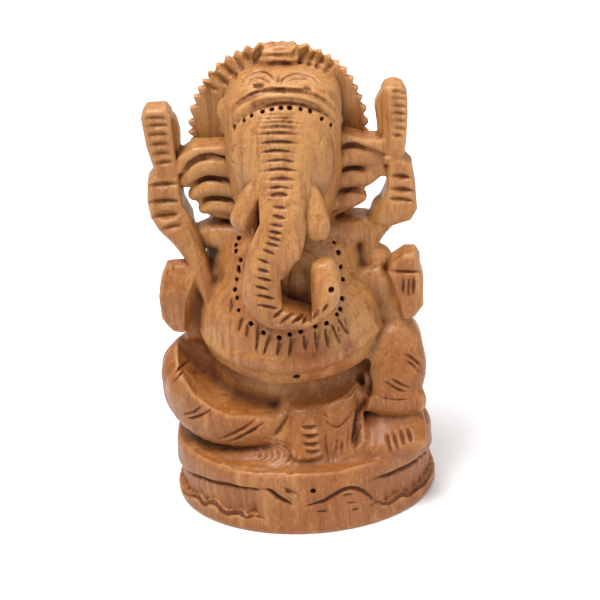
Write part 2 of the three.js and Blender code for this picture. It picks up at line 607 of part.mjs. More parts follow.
const marks = [...plinthMarks(), ...frontMarks(frontOf(carved)), ...haloFlutes()];
const marked = soundWood(carved.subtract(join(marks)));

const wood = new THREE.MeshStandardMaterial({ color: 0xb9763f, roughness: 0.5, metalness: 0 });
const geometry = geometryOf(marked);
geometry.computeBoundingBox();
const middle = geometry.boundingBox.getCenter(new THREE.Vector3());
const figure = new THREE.Mesh(geometry.translate(-middle.x, -middle.y, 0), wood);
figure.name = "carved_figure";

const ganesha = new THREE.Group();
ganesha.add(figure);

export default ganesha;
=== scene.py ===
import math

import bpy
import numpy as np
from mathutils import Euler, Matrix, Vector


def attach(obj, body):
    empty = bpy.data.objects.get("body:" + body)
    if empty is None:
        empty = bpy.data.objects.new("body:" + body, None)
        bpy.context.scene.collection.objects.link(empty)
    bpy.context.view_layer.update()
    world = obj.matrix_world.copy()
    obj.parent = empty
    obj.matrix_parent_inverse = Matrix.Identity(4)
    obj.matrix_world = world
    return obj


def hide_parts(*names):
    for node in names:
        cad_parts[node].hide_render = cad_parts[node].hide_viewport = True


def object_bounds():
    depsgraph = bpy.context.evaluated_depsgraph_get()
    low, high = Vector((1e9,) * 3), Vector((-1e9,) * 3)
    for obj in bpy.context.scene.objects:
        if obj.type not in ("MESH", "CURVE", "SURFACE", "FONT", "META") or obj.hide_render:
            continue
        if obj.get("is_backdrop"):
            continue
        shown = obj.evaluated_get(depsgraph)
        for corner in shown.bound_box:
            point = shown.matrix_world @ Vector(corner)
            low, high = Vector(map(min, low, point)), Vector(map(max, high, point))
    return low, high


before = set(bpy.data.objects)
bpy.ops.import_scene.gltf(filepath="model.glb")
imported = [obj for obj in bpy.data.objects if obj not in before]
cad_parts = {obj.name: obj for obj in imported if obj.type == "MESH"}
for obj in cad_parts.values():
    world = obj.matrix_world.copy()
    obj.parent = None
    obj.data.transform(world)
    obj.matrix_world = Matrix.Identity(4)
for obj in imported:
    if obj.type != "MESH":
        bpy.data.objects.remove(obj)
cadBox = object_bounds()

# Where the eye is, in degrees and millimetres, and the lens, its film and the picture's width in pixels.
view = {
    "height": 27,
    "round": 3,
    "roll": 3.7,
    "away": 640,
    "at": (1.8, 0, 55.5),
    "lens": 144.3,
    "film": 36,
    "frame": 600,
    "search": 48,  # how far before and behind the middle the wood is looked for
    "markStep": 2.6,  # pixels between the places of a mark
}


def viewAxes():  # to the right in the picture, up in it, and back towards the eye
    up, turn, roll = (math.radians(view[name]) for name in ("height", "round", "roll"))
    back = Vector((math.sin(turn) * math.cos(up), -math.cos(turn) * math.cos(up), math.sin(up)))
    right = (-back).cross(Vector((0, 0, 1))).normalized()
    over = right.cross(-back)
    across = right * math.cos(roll) - over * math.sin(roll)
    above = right * math.sin(roll) + over * math.cos(roll)
    return across, above, back


# Carving is worked out in millimetres, on the same axes as the solid.
wood = {
    "low": (-37.5, -31.0, -1.2),
    "high": (38.2, 31.0, 129.0),
    "spacing": 0.32,
    "centring": 0.18,  # the solid was moved this far along x to centre it
    "faces": 196000,
    "empty": 9.0,  # the field's value well outside the wood
    "margin": 1,
    "skin": 1.5,  # cells left round a tube
    "stride": 0.8,  # cells between two looks along a line of sight
    "limbSteps": 5,  # rods between two stations of a limb
    "wedgeSlope": 0.75,
    "closeBy": 0.9,  # how far round a point its crowding is taken, close by and widely
    "widely": 3.2,
    "metre": 0.001,
}


def softMin(a, b, blend):
    if not blend:
        return np.minimum(a, b)
    near = np.maximum(blend - np.abs(a - b), 0) / blend
    return np.minimum(a, b) - near * near * blend / 4


def unit(v):
    return v / max(np.linalg.norm(v), 1e-9)


# A smooth line through points, with the given number of steps between each two. Extra columns, such as
# half widths, go along with it.
def smoothLine(points, steps):
    p = np.array(points, float)
    if len(p) == 2:
        t = np.linspace(0, 1, steps + 1)[:, None]
        return p[0] * (1 - t) + p[1] * t
    ends = np.vstack([2 * p[0] - p[1], p, 2 * p[-1] - p[-2]])
    line = []
    for i in range(len(p) - 1):
        a, b, c, d = ends[i:i + 4]
        for t in np.arange(steps) / steps:
            line.append(0.5 * (2 * b + (c - a) * t + (2 * a - 5 * b + 4 * c - d) * t ** 2
                               + (3 * b - a - 3 * c + d) * t ** 3))
    line.append(p[-1])
    return np.array(line)


def alongLine(line, count):  # the same line with evenly spaced points
    steps = np.linalg.norm(np.diff(line, axis=0), axis=1)
    run = np.concatenate([[0], np.cumsum(steps)])
    at = np.linspace(0, run[-1], count)
    return np.stack([np.interp(at, run, line[:, i]) for i in range(line.shape[1])], 1)


# Signed distance to a closed outline, negative inside.
def outlineDistance(points, x, z):
    shape = np.broadcast_shapes(x.shape, z.shape)
    nearest = np.full(shape, np.inf, np.float32)
    inside = np.zeros(shape, bool)
    for (ax, az), (bx, bz) in zip(points, points[1:] + points[:1]):
        ex, ez = bx - ax, bz - az
        t = np.clip(((x - ax) * ex + (z - az) * ez) / (ex * ex + ez * ez), 0, 1)
        nearest = np.minimum(nearest, (x - ax - ex * t) ** 2 + (z - az - ez * t) ** 2)
        if az != bz:
            inside ^= ((az > z) != (bz > z)) & (x < ax + ex * (z - az) / ez)
    return np.where(inside, -1, 1) * np.sqrt(nearest)


# The block of wood: a field of distances to the surface, negative in the wood. Forms are added to it
# and cuts are taken out of it, each in its own part of the block.
class Block:
    def __init__(self, low, high, spacing):
        self.low, self.spacing = np.array(low, float), spacing
        self.size = [int(math.ceil((b - a) / spacing)) + 1 for a, b in zip(low, high)]
        self.axes = [np.float32(a) + np.float32(spacing) * np.arange(n, dtype=np.float32)
                     for a, n in zip(low, self.size)]
        self.field = np.full(self.size, wood["empty"], np.float32)
        self.scratch = np.full(self.size, wood["empty"], np.float32)

    def part(self, low, high):
        spans = []
        for i in range(3):
            start = max(int((low[i] - self.low[i]) / self.spacing), 0)
            stop = min(int((high[i] - self.low[i]) / self.spacing) + 2, self.size[i])
            spans.append(slice(start, max(stop, start + 1)))
        x, y, z = (self.axes[i][spans[i]] for i in range(3))
        return tuple(spans), x[:, None, None], y[None, :, None], z[None, None, :]

    def add(self, spans, shape, blend):
        self.field[spans] = softMin(self.field[spans], shape, blend)

    def take(self, spans, shape, blend):
        self.field[spans] = -softMin(-self.field[spans], shape, blend)

    def egg(self, at, r, turn=(0, 0, 0), blend=1.0):
        reach = max(r) + blend + wood["margin"]
        spans, x, y, z = self.part([a - reach for a in at], [a + reach for a in at])
        m = Euler([math.radians(a) for a in turn]).to_matrix()
        p = (x - at[0], y - at[1], z - at[2])
        q = [m[0][i] * p[0] + m[1][i] * p[1] + m[2][i] * p[2] for i in range(3)]
        far = np.sqrt(sum((q[i] / r[i]) ** 2 for i in range(3)))
        steep = np.sqrt(sum((q[i] / r[i] ** 2) ** 2 for i in range(3)))
        self.add(spans, far * (far - 1) / np.maximum(steep, 1e-5), blend)

    # A run of short rods. Power 2 gives an oval section, more a squarer one, and 1 that of a knife's cut.
    def tube(self, places, sides, sizes, blend, power=2.0):
        margin = blend + wood["skin"] * self.spacing
        reach = sizes.max() + margin
        spans = self.part(places.min(0) - reach, places.max(0) + reach)[0]
        self.scratch[spans] = wood["empty"]
        for i in range(len(places) - 1):
            a, b = places[i], places[i + 1]
            run = b - a
            length = max(np.linalg.norm(run), 1e-6)
            along = run / length
            side = unit(sides[i] - along * sides[i].dot(along))
            out = np.cross(along, side)
            reach = max(sizes[i].max(), sizes[i + 1].max()) + margin
            part, x, y, z = self.part(np.minimum(a, b) - reach, np.maximum(a, b) + reach)
            px, py, pz = x - a[0], y - a[1], z - a[2]
            t = np.clip((px * along[0] + py * along[1] + pz * along[2]) / length, 0, 1)
            px, py, pz = px - run[0] * t, py - run[1] * t, pz - run[2] * t
            wide, deep = (sizes[i][k] + (sizes[i + 1][k] - sizes[i][k]) * t for k in (0, 1))
            least = np.minimum(wide, deep)
            u = np.abs(px * side[0] + py * side[1] + pz * side[2]) / wide
            v = np.abs(px * out[0] + py * out[1] + pz * out[2]) / deep
            w = np.abs(px * along[0] + py * along[1] + pz * along[2]) / least
            if power == 1:
                shape = (u + v + w - 1) * least * wood["wedgeSlope"]
            else:
                far = np.maximum(u ** power + v ** power + w ** power, 1e-9) ** (1 / power)
                rest = power - 1
                steep = (u ** rest / wide) ** 2 + (v ** rest / deep) ** 2 + (w ** rest / least) ** 2
                steep = np.sqrt(steep)
                shape = far ** rest * (far - 1) / np.maximum(steep, 1e-5)
            self.scratch[part] = np.minimum(self.scratch[part], shape)
        return spans

    # Stations are x, y, z, half width and half depth.
    def limb(self, stations, wide=(1, 0, 0), blend=1.0, power=2.0, cut=False):
        line = smoothLine(stations, wood["limbSteps"])
        sides = np.tile(np.array(wide, float), (len(line), 1))
        spans = self.tube(line[:, :3], sides, line[:, 3:], blend, power)
        (self.take if cut else self.add)(spans, self.scratch[spans], blend)

    # A flat taken off with a knife: all that lies beyond a plane, within a box.
    def shave(self, at, facing, low, high, blend=0.6):
        spans, x, y, z = self.part(low, high)
        n = unit(np.array(facing, float))
        self.take(spans, (at[0] - x) * n[0] + (at[1] - y) * n[1] + (at[2] - z) * n[2], blend)

    # A board cut to an outline of x and z, with its edges rounded.
    def plank(self, outline, depth, edge=1.6, blend=0.8):
        xs, zs = zip(*outline)
        front, back = depth
        reach = blend + wood["margin"]
        spans, x, y, z = self.part((min(xs) - reach, front - reach, min(zs) - reach),
                                   (max(xs) + reach, back + reach, max(zs) + reach))
        flat = outlineDistance(outline, x, z) + edge
        thick = np.abs(y - (front + back) / 2) - (back - front) / 2 + edge
        shape = np.minimum(np.maximum(flat, thick), 0)
        shape = shape + np.sqrt(np.maximum(flat, 0) ** 2 + np.maximum(thick, 0) ** 2) - edge
        self.add(spans, shape, blend)

    # Keeps the form before it is marked, and where the eye is, so that marks are set out as they are seen.
    def beginMarks(self):
        self.still = self.field.copy()
        self.axesSeen = [np.array(axis) for axis in viewAxes()]
        self.eye = np.array(view["at"]) + self.axesSeen[2] * view["away"]

    # Where the wood is met behind a point of the picture, in its pixels.
    def seen(self, u, v):
        right, above, back = self.axesSeen
        scale = view["lens"] / view["film"] * view["frame"]
        middle = view["frame"] / 2
        way = unit(right * (u - middle) / scale - above * (v - middle) / scale - back)
        steps = np.arange(-view["search"], view["search"], self.spacing * wood["stride"]) + view["away"]
        places = self.eye + steps[:, None] * way
        at = np.round((places - self.low) / self.spacing).astype(int)
        inside = ((at > 0) & (at < np.array(self.size) - 1)).all(1)
        places, at = places[inside], at[inside]
        values = self.still[at[:, 0], at[:, 1], at[:, 2]]
        first = int((values < 0).argmax()) if len(values) else 0
        return places[first] + way * values[first] if first else None

    def cell(self, p):
        at = [round((p[i] - self.low[i]) / self.spacing) for i in range(3)]
        return [int(np.clip(at[i], 1, self.size[i] - 2)) for i in range(3)]

    def outward(self, p):
        i, j, k = self.cell(p)
        f = self.still
        return unit(np.array([f[i + 1, j, k] - f[i - 1, j, k], f[i, j + 1, k] - f[i, j - 1, k],
                              f[i, j, k + 1] - f[i, j, k - 1]], float))

    # A knife's cut over the surface, or a ridge left standing on it, pointed at both ends. It is set out by
    # its points in the picture.
    def mark(self, line, width, depth, blend=0.2, blunt=0.5, raised=False):
        path = smoothLine(line, knife["lineSteps"])
        length = np.linalg.norm(np.diff(path, axis=0), axis=1).sum()
        count = max(int(length / view["markStep"]), knife["fewest"])
        places = [self.seen(u, v) for u, v in alongLine(path, count)]
        places = np.array([p for p in places if p is not None])
        if len(places) < 3:
            return
        outs = np.array([self.outward(p) for p in places])
        share = np.sin(math.pi * np.linspace(0, 1, len(places))) ** blunt
        share = np.maximum(share, knife["tip"])[:, None]
        sides = np.cross(outs, np.gradient(places, axis=0))
        spans = self.tube(places, sides, share * np.array([[width / 2, depth]]), blend, 2 if raised else 1)
        (self.add if raised else self.take)(spans, self.scratch[spans], blend)

    def drill(self, at, radius, depth):  # at is a point of the picture
        place = self.seen(*at)
        if place is None:
            return
        out = self.outward(place)
        places = np.array([place + out * radius, place - out * depth])
        sides = np.tile(unit(np.cross(out, knife["aslant"])), (2, 1))
        spans = self.tube(places, sides, np.full((2, 2), radius), knife["drillBlend"])
        self.take(spans, self.scratch[spans], knife["drillBlend"])

    # A surface through the field: one point in each cell that it crosses, joined across the crossed edges.
    def surface(self):
        f = self.field
        inside = f < 0
        count = np.zeros([n - 1 for n in self.size], np.uint8)
        corners = [(a, b, c) for a in (0, 1) for b in (0, 1) for c in (0, 1)]
        for a, b, c in corners:
            count += inside[a:a + count.shape[0], b:b + count.shape[1], c:c + count.shape[2]]
        i, j, k = np.nonzero((count > 0) & (count < 8))
        number = np.full(count.shape, -1, np.int32)
        number[i, j, k] = np.arange(len(i))
        total = np.zeros((len(i), 3))
        crossed = np.zeros(len(i))
        for axis in range(3):
            step = [int(axis == n) for n in range(3)]
            for a, b, c in corners:
                if (a, b, c)[axis]:
                    continue
                here = f[i + a, j + b, k + c]
                there = f[i + a + step[0], j + b + step[1], k + c + step[2]]
                cut = (here < 0) != (there < 0)
                share = np.where(cut, here / np.where(cut, here - there, 1), 0)
                place = np.stack([a + share * step[0], b + share * step[1], c + share * step[2]], 1)
                total += place * cut[:, None]
                crossed += cut
        points = (total / crossed[:, None] + np.stack([i, j, k], 1)) * self.spacing + self.low
        faces = []
        for axis in range(3):
            lower = inside.take(range(self.size[axis] - 1), axis)
            upper = inside.take(range(1, self.size[axis]), axis)
            edge = np.argwhere(lower != upper)
            u, v = [n for n in range(3) if n != axis]
            edge = edge[(edge[:, u] > 0) & (edge[:, v] > 0)]
            edge = edge[(edge[:, u] < self.size[u] - 1) & (edge[:, v] < self.size[v] - 1)]
            ring = []
            for du, dv in ((-1, -1), (0, -1), (0, 0), (-1, 0)):
                cell = edge.copy()
                cell[:, u] += du
                cell[:, v] += dv
                ring.append(number[cell[:, 0], cell[:, 1], cell[:, 2]])
            ring = np.stack(ring, 1)
            entering = lower[edge[:, 0], edge[:, 1], edge[:, 2]]
            forward = entering if axis != 1 else ~entering
            ring[~forward] = ring[~forward][:, ::-1]
            faces.append(ring)
        return points, np.vstack(faces)


# How the knife and the hand drill mark the wood, and the slow unevenness that a knife leaves.
knife = {
    "lineSteps": 8,
    "fewest": 4,  # places in the shortest mark
    "tip": 0.15,  # the share of its size that a mark keeps at its ends
    "aslant": (0.3, 0.2, 0.9),
    "drillBlend": 0.15,
    "broadBlend": 0.4,
    "spread": (0.9, 1.1),
    "coarse": (6.0, 6.0, 8.0),
    "coarseDepth": 0.24,
    "coarseSeed": 3,
    "fine": (2.2, 2.2, 3.4),
    "fineDepth": 0.1,
    "fineSeed": 4,
    "evenBelow": 1.5,
    "evenFade": 3,
    "markSeed": 11,
}

block = Block(wood["low"], wood["high"], wood["spacing"])
print("block of wood:", block.size)

plinth = {
    "x": 0.6,
    "halfWidth": 35.3,
    "halfDepth": 28.8,
    "top": 24,
    "room": 2,
    "slope": [(0, 23.6), (0.60, 23.2), (0.74, 20.6), (0.86, 18.6), (0.93, 18.4), (0.97, 19.2), (1.1, 19.3)],
    # The lip and the foot go up and down with the angle round the plinth, which is 90 degrees at the front.
    "lip": [(0, 11), (12, 11.7), (26, 13.0), (35, 12.9), (42, 13.2), (50, 13.4), (108, 13.4), (118, 13),
            (124, 13.3), (129, 13.5), (132, 12.6), (143, 12.2), (150, 11.4), (161, 10.3), (180, 9.8)],
    "lipGroove": 1.3,
    "lipHalf": 0.8,
    "foot": [(0, 3), (9, 3.2), (16, 4), (22, 3.6), (29, 4.1), (36, 4.1), (43, 5.5), (46, 4.7), (51, 4.6),
             (56, 5.8), (60, 5.1), (70, 4.2), (80, 5.4), (90, 4.2), (100, 5), (107, 3.8), (112, 5),
             (117, 4.1), (121, 5), (128, 3.7), (132, 5.2), (137, 5.9), (142, 3.8), (147, 4.9), (154, 3.6),
             (164, 2.2), (172, 3), (180, 2.4)],
    "ripple": (0.2, 53),  # depth, and times round
    "bandDepth": 2.2,
    "bandLean": (0.55, 0.8),  # share lost by the top of the band, and the power of its curve
    "footEase": 0.7,
    "lipEase": 0.9,
    "gouge": (0.15, 61, 3.1, 5),  # depth, times round, and how far and how often they drift
    "lean": [(0, 0.5), (1.2, 0), (6, 0.1), (19, 0.5)],  # how far in the side is, by height
    "sideSlope": 0.85,
    "shoulder": 3.0,
    "mouseTurn": -81,
    "mouseReach": 26,
    "mouseEase": 6,
    "mouse": {"at": (4.6, -25.4, 12.8), "r": (10.5, 3.2, 4.6), "turn": (0, -4, 0), "blend": 1.0},
}


# The oval plinth. Its side is cut back between a drooping lip and an uneven foot, all the way round except
# where the mouse is.
def turnPlinth():
    w, d, room = plinth["halfWidth"], plinth["halfDepth"], plinth["room"]
    spans, x, y, z = block.part((plinth["x"] - w - room, -d - room, -room),
                                (plinth["x"] + w + room, d + room, plinth["top"] + room))
    across, along = (x - plinth["x"]) / w, y / d
    far = np.sqrt(across ** 2 + along ** 2)
    turn = np.arctan2(along, across)
    angle = np.abs(np.degrees(turn))
    lip = np.interp(angle, *zip(*plinth["lip"]))
    ripple, ripples = plinth["ripple"]
    foot = np.interp(angle, *zip(*plinth["foot"])) + ripple * np.sin(turn * ripples)
    off = np.abs((np.degrees(turn) - plinth["mouseTurn"] + 180) % 360 - 180)
    share = np.clip((off - plinth["mouseReach"]) / plinth["mouseEase"], 0, 1)
    up = np.clip((z - foot) / (lip - foot), 0, 1)
    cut = np.clip((z - foot) / plinth["footEase"], 0, 1)
    cut = cut * np.clip((lip + plinth["footEase"] - z) / plinth["lipEase"], 0, 1)
    lean, power = plinth["bandLean"]
    band = plinth["bandDepth"] * cut * (1 - lean * up ** power) * share
    depth, gouges, drift, drifts = plinth["gouge"]
    gouged = depth * np.cos(turn * gouges + drift * np.sin(turn * drifts)) * cut * share
    groove = plinth["lipGroove"] * np.clip(1 - np.abs(z - lip) / plinth["lipHalf"], 0, 1) * share
    inward = np.interp(z, *zip(*plinth["lean"])).astype(np.float32)
    side = (far * w - (w - np.maximum(band + gouged, groove) - inward)) * plinth["sideSlope"]
    top = z - np.interp(far, *zip(*plinth["slope"])).astype(np.float32)
    shape = -softMin(-side, -top, plinth["shoulder"])
    block.add(spans, np.maximum(shape, -z), 0)


turnPlinth()
block.egg(**plinth["mouse"])
print("plinth and mouse shaped")

hands = {
    "palm": {"outline": [(-32.4, 69.8), (-27.4, 70.1), (-24.4, 66.6), (-23.4, 59), (-24.6, 52.6),
                         (-27.6, 50.6), (-32, 51), (-34.7, 54.8), (-35, 62), (-34, 66.4)],
             "depth": (-8.8, -0.5), "edge": 1.4, "blend": 1.0},
    "palmFlats": [((-30, -8.8, 62.6), (-0.12, -1, 0.42)), ((-30, -8.8, 61.6), (-0.25, -1, -0.16)),
                  ((-27.6, -8.0, 59), (1, -0.8, -0.28))],
    "palmBox": {"low": (-37, -11, 48), "high": (-22.5, 1, 72), "blend": 0.4},
    "holdingHand": {"outline": [(25.6, 67), (33.9, 66.9), (34.7, 64.7), (34.4, 56.6), (32, 53.4),
                                (29.4, 52.8), (27.2, 56.6), (25.6, 62)], "depth": (-9.2, 0), "edge": 1.6,
                    "blend": 1.0},
    "holdingFlat": {"at": (27.6, -8.6, 60), "facing": (-1, -0.7, -0.25), "low": (23, -11, 52.5),
                    "high": (36, 1, 66.6), "blend": 0.4},
    "sweet": {"outline": [(25.8, 67.4), (26.6, 69.4), (30, 71.8), (32.8, 71.7), (34, 69.6), (34, 66.4),
                          (26, 66.4)], "depth": (-8.8, -1.4), "edge": 1.6, "blend": 0.3},
    "leftForearm": {"outline": [(-19, 67), (-24.6, 67.6), (-27, 62), (-29.6, 54), (-29, 47), (-19, 46)],
                    "depth": (-5.2, 7), "edge": 2.0, "blend": 1.4},
    "rightForearm": {"outline": [(17, 66), (23.6, 67.4), (26.4, 63), (29.4, 53.6), (28.4, 49.6), (23, 47.6),
                                 (17, 48)], "depth": (-6.6, 7), "edge": 2.0, "blend": 1.4},
}


def carveHands():
    block.plank(**hands["palm"])
    for at, facing in hands["palmFlats"]:
        block.shave(at, facing, **hands["palmBox"])
    block.plank(**hands["holdingHand"])
    block.shave(**hands["holdingFlat"])
    for board in ("sweet", "leftForearm", "rightForearm"):
        block.plank(**hands[board])


legs = {
    "crossed": {"stations": [(-13, 6, 36, 11, 9), (-23, 1, 36.5, 10.5, 8.6), (-26.6, -4.6, 34.4, 11.8, 8.8),
                             (-20.5, -11, 28.6, 7.8, 7), (-12.5, -13.2, 26.4, 6.2, 5.8),
                             (-6.6, -13.6, 25.6, 4.8, 4.8)], "wide": (0, 0, 1), "blend": 1.2, "power": 2.8},
    "cushionTop": [(-40, 70), (-33, 50), (-30.6, 42), (-26.6, 37), (-22, 33.6), (-17, 31.8), (-6, 30.4),
                   (3, 29.8)],
    "cushionBox": ((-40, -24, 24), (4, 4, 60)),
    "cushionBack": -3.6,
    "cushionRise": (0.16, 16),  # rise towards the back, and how far forward it is level
    "cushionSlope": 0.85,
    "cushionRound": 1.6,
    "cushionBlend": 0.7,
    "knee": {"at": (23.6, 0.5, 42), "r": (9.6, 11.5, 10), "turn": (0, 14, 0), "blend": 1.6},
    "shin": {"stations": [(25, -3.5, 43, 9, 8), (26, -7, 37.5, 8.4, 6.8), (25.2, -9.5, 31, 7.0, 5.6)],
             "blend": 1.6, "power": 2.6},
    "skirt": {"stations": [(9, -11, 33, 8.5, 5), (8.6, -14.6, 27, 9, 4.6), (8.2, -17.4, 22, 10.5, 4),
                           (8, -19.6, 18, 12, 3)], "blend": 1.6, "power": 2.4},
    "fold": {"stations": [(-1.6, -12, 31, 3.4, 4), (-1.4, -15.4, 26, 4.2, 4), (-1.2, -18, 20.6, 6.4, 3)],
             "blend": 2.2},
    "foot": {"stations": [(24.6, -9, 25, 8.6, 4.6), (25.6, -14, 22.8, 8.6, 3.8),
                          (26.2, -18.5, 20.6, 7.8, 2.8)], "blend": 1.8, "power": 2.4},
    "valley": {"stations": [(19, -15, 42, 1.5, 3), (17.4, -16.4, 35, 2.2, 3.2), (17.2, -18.4, 29, 2.2, 3),
                            (15.2, -20.4, 23.6, 1.6, 2)], "blend": 1.6, "cut": True},
    "drape": {"stations": [(9.8, -9, 38, 5.8, 4.4), (9.8, -12.6, 33, 5.6, 4.2),
                           (9.6, -15.6, 29.4, 4.2, 3.4), (9.4, -17, 27, 1.8, 2)], "blend": 0.6, "power": 3},
    "cuff": {"stations": [(19.4, -11.4, 31.4, 3, 3.8), (25, -12, 31, 3.2, 4), (31, -11.2, 30.4, 3, 3.8)],
             "wide": (0, 0, 1), "blend": 1.2, "power": 3},
    "pleats": {"stations": [(1.2, -13.4, 33, 3.4, 3), (1.7, -17.8, 27.6, 3.9, 2.8),
                            (2.3, -21, 21.4, 4.4, 2.8)], "blend": 0.7, "power": 2.8},
}


# The crossed leg is cut down to the cushion in front of the thigh.
def carveCushion():
    spans, x, y, z = block.part(*legs["cushionBox"])
    rise, level = legs["cushionRise"]
    sheet = np.interp(x, *zip(*legs["cushionTop"])).astype(np.float32) + rise * (y + level)
    front = y - legs["cushionBack"]
    over = -softMin((z - sheet) * legs["cushionSlope"], -front, legs["cushionRound"])
    block.take(spans, over, legs["cushionBlend"])


def carveLegs():
    block.limb(**legs["crossed"])
    carveCushion()
    block.egg(**legs["knee"])
    for form in ("shin", "skirt", "fold", "foot", "valley", "drape", "cuff", "pleats"):
        block.limb(**legs[form])


body = {
    "back": {"outline": [(-21, 22), (-22.4, 60), (-22.4, 72), (-18, 77.2), (16.6, 77.2), (20, 70),
                         (20, 22)], "depth": (0.5, 14.6), "edge": 3.0, "blend": 1.5},
    "hips": {"at": (0, 3, 36), "r": (25, 16, 20), "blend": 1.4},
    "shoulders": {"stations": [(-24.4, 2.4, 75.2, 2.4, 3.4), (-17, 2.4, 75.6, 3.6, 5.4),
                               (-6, 2.4, 75.4, 3.8, 7), (6, 2.4, 75.4, 3.8, 7), (16, 2.4, 75.6, 3.8, 5.6),
                               (22.4, 2.4, 76, 2.8, 4.2)], "wide": (0, 0, 1), "blend": 1.2, "power": 3.2},
    "nape": {"outline": [(-21, 70), (-21.4, 77.4), (-19.6, 80.4), (-12, 82), (12, 82), (16.5, 80.6),
                         (18.5, 70)], "depth": (1, 8), "edge": 1.4, "blend": 0.8},
    "chest": {"at": (-0.5, 0.5, 66.5), "r": (19.5, 14.5, 14.5), "blend": 2.0},
    "neck": {"at": (-0.5, 2, 82), "r": (13.5, 10.5, 11), "blend": 1.4},
    "belly": {"at": (-0.5, -1.5, 52), "r": (24.8, 20.5, 21.3), "blend": 1.2},
    "underBelly": {"stations": [(-23, -5, 43, 2, 2), (-18, -11, 40, 3.4, 3.4), (-9, -16, 37.2, 4, 4),
                                (2, -17, 36.6, 4, 4), (12, -14.6, 38, 3.6, 3.6), (18, -10, 41, 2.4, 2.4)],
                   "wide": (0, 0, 1), "blend": 1.0, "cut": True},
    "flatBehind": {"at": (0, 14.6, 50), "facing": (0, 1, 0), "low": (-30, 11, 19), "high": (30, 22, 82),
                   "blend": 1.2},
}


def carveBody():
    block.plank(**body["back"])
    block.egg(**body["hips"])
    block.limb(**body["shoulders"])
    block.plank(**body["nape"])
    for form in ("chest", "neck", "belly"):
        block.egg(**body[form])
    block.limb(**body["underBelly"])
    block.shave(**body["flatBehind"])


carveLegs()
carveHands()
carveBody()
print("hands, legs and body carved")

arms = {
    "leftArm": {"stations": [(-30, 0, 81.5, 4.8, 4.6), (-27.4, -1, 77, 3.8, 4.4),
                             (-24.8, -2.6, 71.4, 2.9, 3.8), (-22.8, -4.2, 65.6, 2.3, 3.2),
                             (-21.4, -5.4, 59.4, 1.7, 2.6)], "blend": 1.0, "power": 2.8},
    "rightArm": {"stations": [(25.2, 1, 80, 3.8, 4.4), (22.8, 1.4, 75.6, 2.7, 4.2),
                              (21, 1.8, 71.6, 2.7, 4.6), (20, 2, 64, 3.2, 5)], "blend": 1.0, "power": 2.6},
    "elbow": {"at": (22.9, 0.2, 67), "r": (3.8, 4.4, 3.8), "blend": 1.0},
    "leftFlank": {"outline": [(-33.5, 110.4), (-28.8, 110.6), (-27.1, 108.4), (-26.5, 105), (-26.6, 100.3),
                              (-25, 98), (-24.2, 94), (-32, 94)], "depth": (-0.5, 5.4), "edge": 1.4,
                  "blend": 0.8},
    "rightFlank": {"outline": [(30, 113), (25.4, 113), (23.8, 110.4), (24.5, 104.6), (24.6, 100.6),
                               (24, 95), (31, 95)], "depth": (-0.5, 5.4), "edge": 1.4, "blend": 0.8},
    "leftEmblem": {"outline": [(-35.7, 110.8), (-34.4, 112.8), (-29.4, 113), (-28.1, 111), (-27.4, 94),
                               (-33, 94), (-33.7, 96.8), (-35, 103)], "depth": (-3.4, 4), "edge": 1.0,
                   "blend": 0.5},
    "rightEmblem": {"outline": [(25.8, 114.4), (26.8, 116), (29.2, 116.6), (31.2, 115.8), (32.4, 113.4),
                                (32.5, 109.4), (32, 104), (31.2, 98), (30.2, 96.6), (30, 95), (25.8, 95)],
                    "depth": (-3.4, 4), "edge": 1.0, "blend": 0.5},
    "emblemFlat": {"at": (26.9, -2.6, 108), "facing": (-1, -1.4, 0), "low": (22, -5, 97.5),
                   "high": (32, 2, 120)},
    "leftFist": {"outline": [(-35.6, 92.8), (-33.6, 94.8), (-27.4, 94.4), (-27, 90.6), (-26.6, 86),
                             (-24.8, 81.8), (-24.6, 78.4), (-30.6, 76), (-33.8, 79), (-35.6, 82.6),
                             (-36, 88)], "depth": (-3.8, 5), "edge": 1.3, "blend": 0.5},
    "rightFist": {"outline": [(26.8, 96.2), (30.7, 96.4), (33, 94.2), (33.7, 88), (33.8, 82), (32, 78.8),
                              (26, 77.2), (22.4, 78.6), (24.2, 83.2), (26, 88)], "depth": (-3.8, 5),
                  "edge": 1.5, "blend": 0.5},
}


def carveArms():
    block.limb(**arms["leftArm"])
    block.limb(**arms["rightArm"])
    block.egg(**arms["elbow"])
    for board in ("leftFlank", "rightFlank", "leftEmblem", "rightEmblem"):
        block.plank(**arms[board])
    block.shave(**arms["emblemFlat"])
    block.plank(**arms["leftFist"])
    block.plank(**arms["rightFist"])


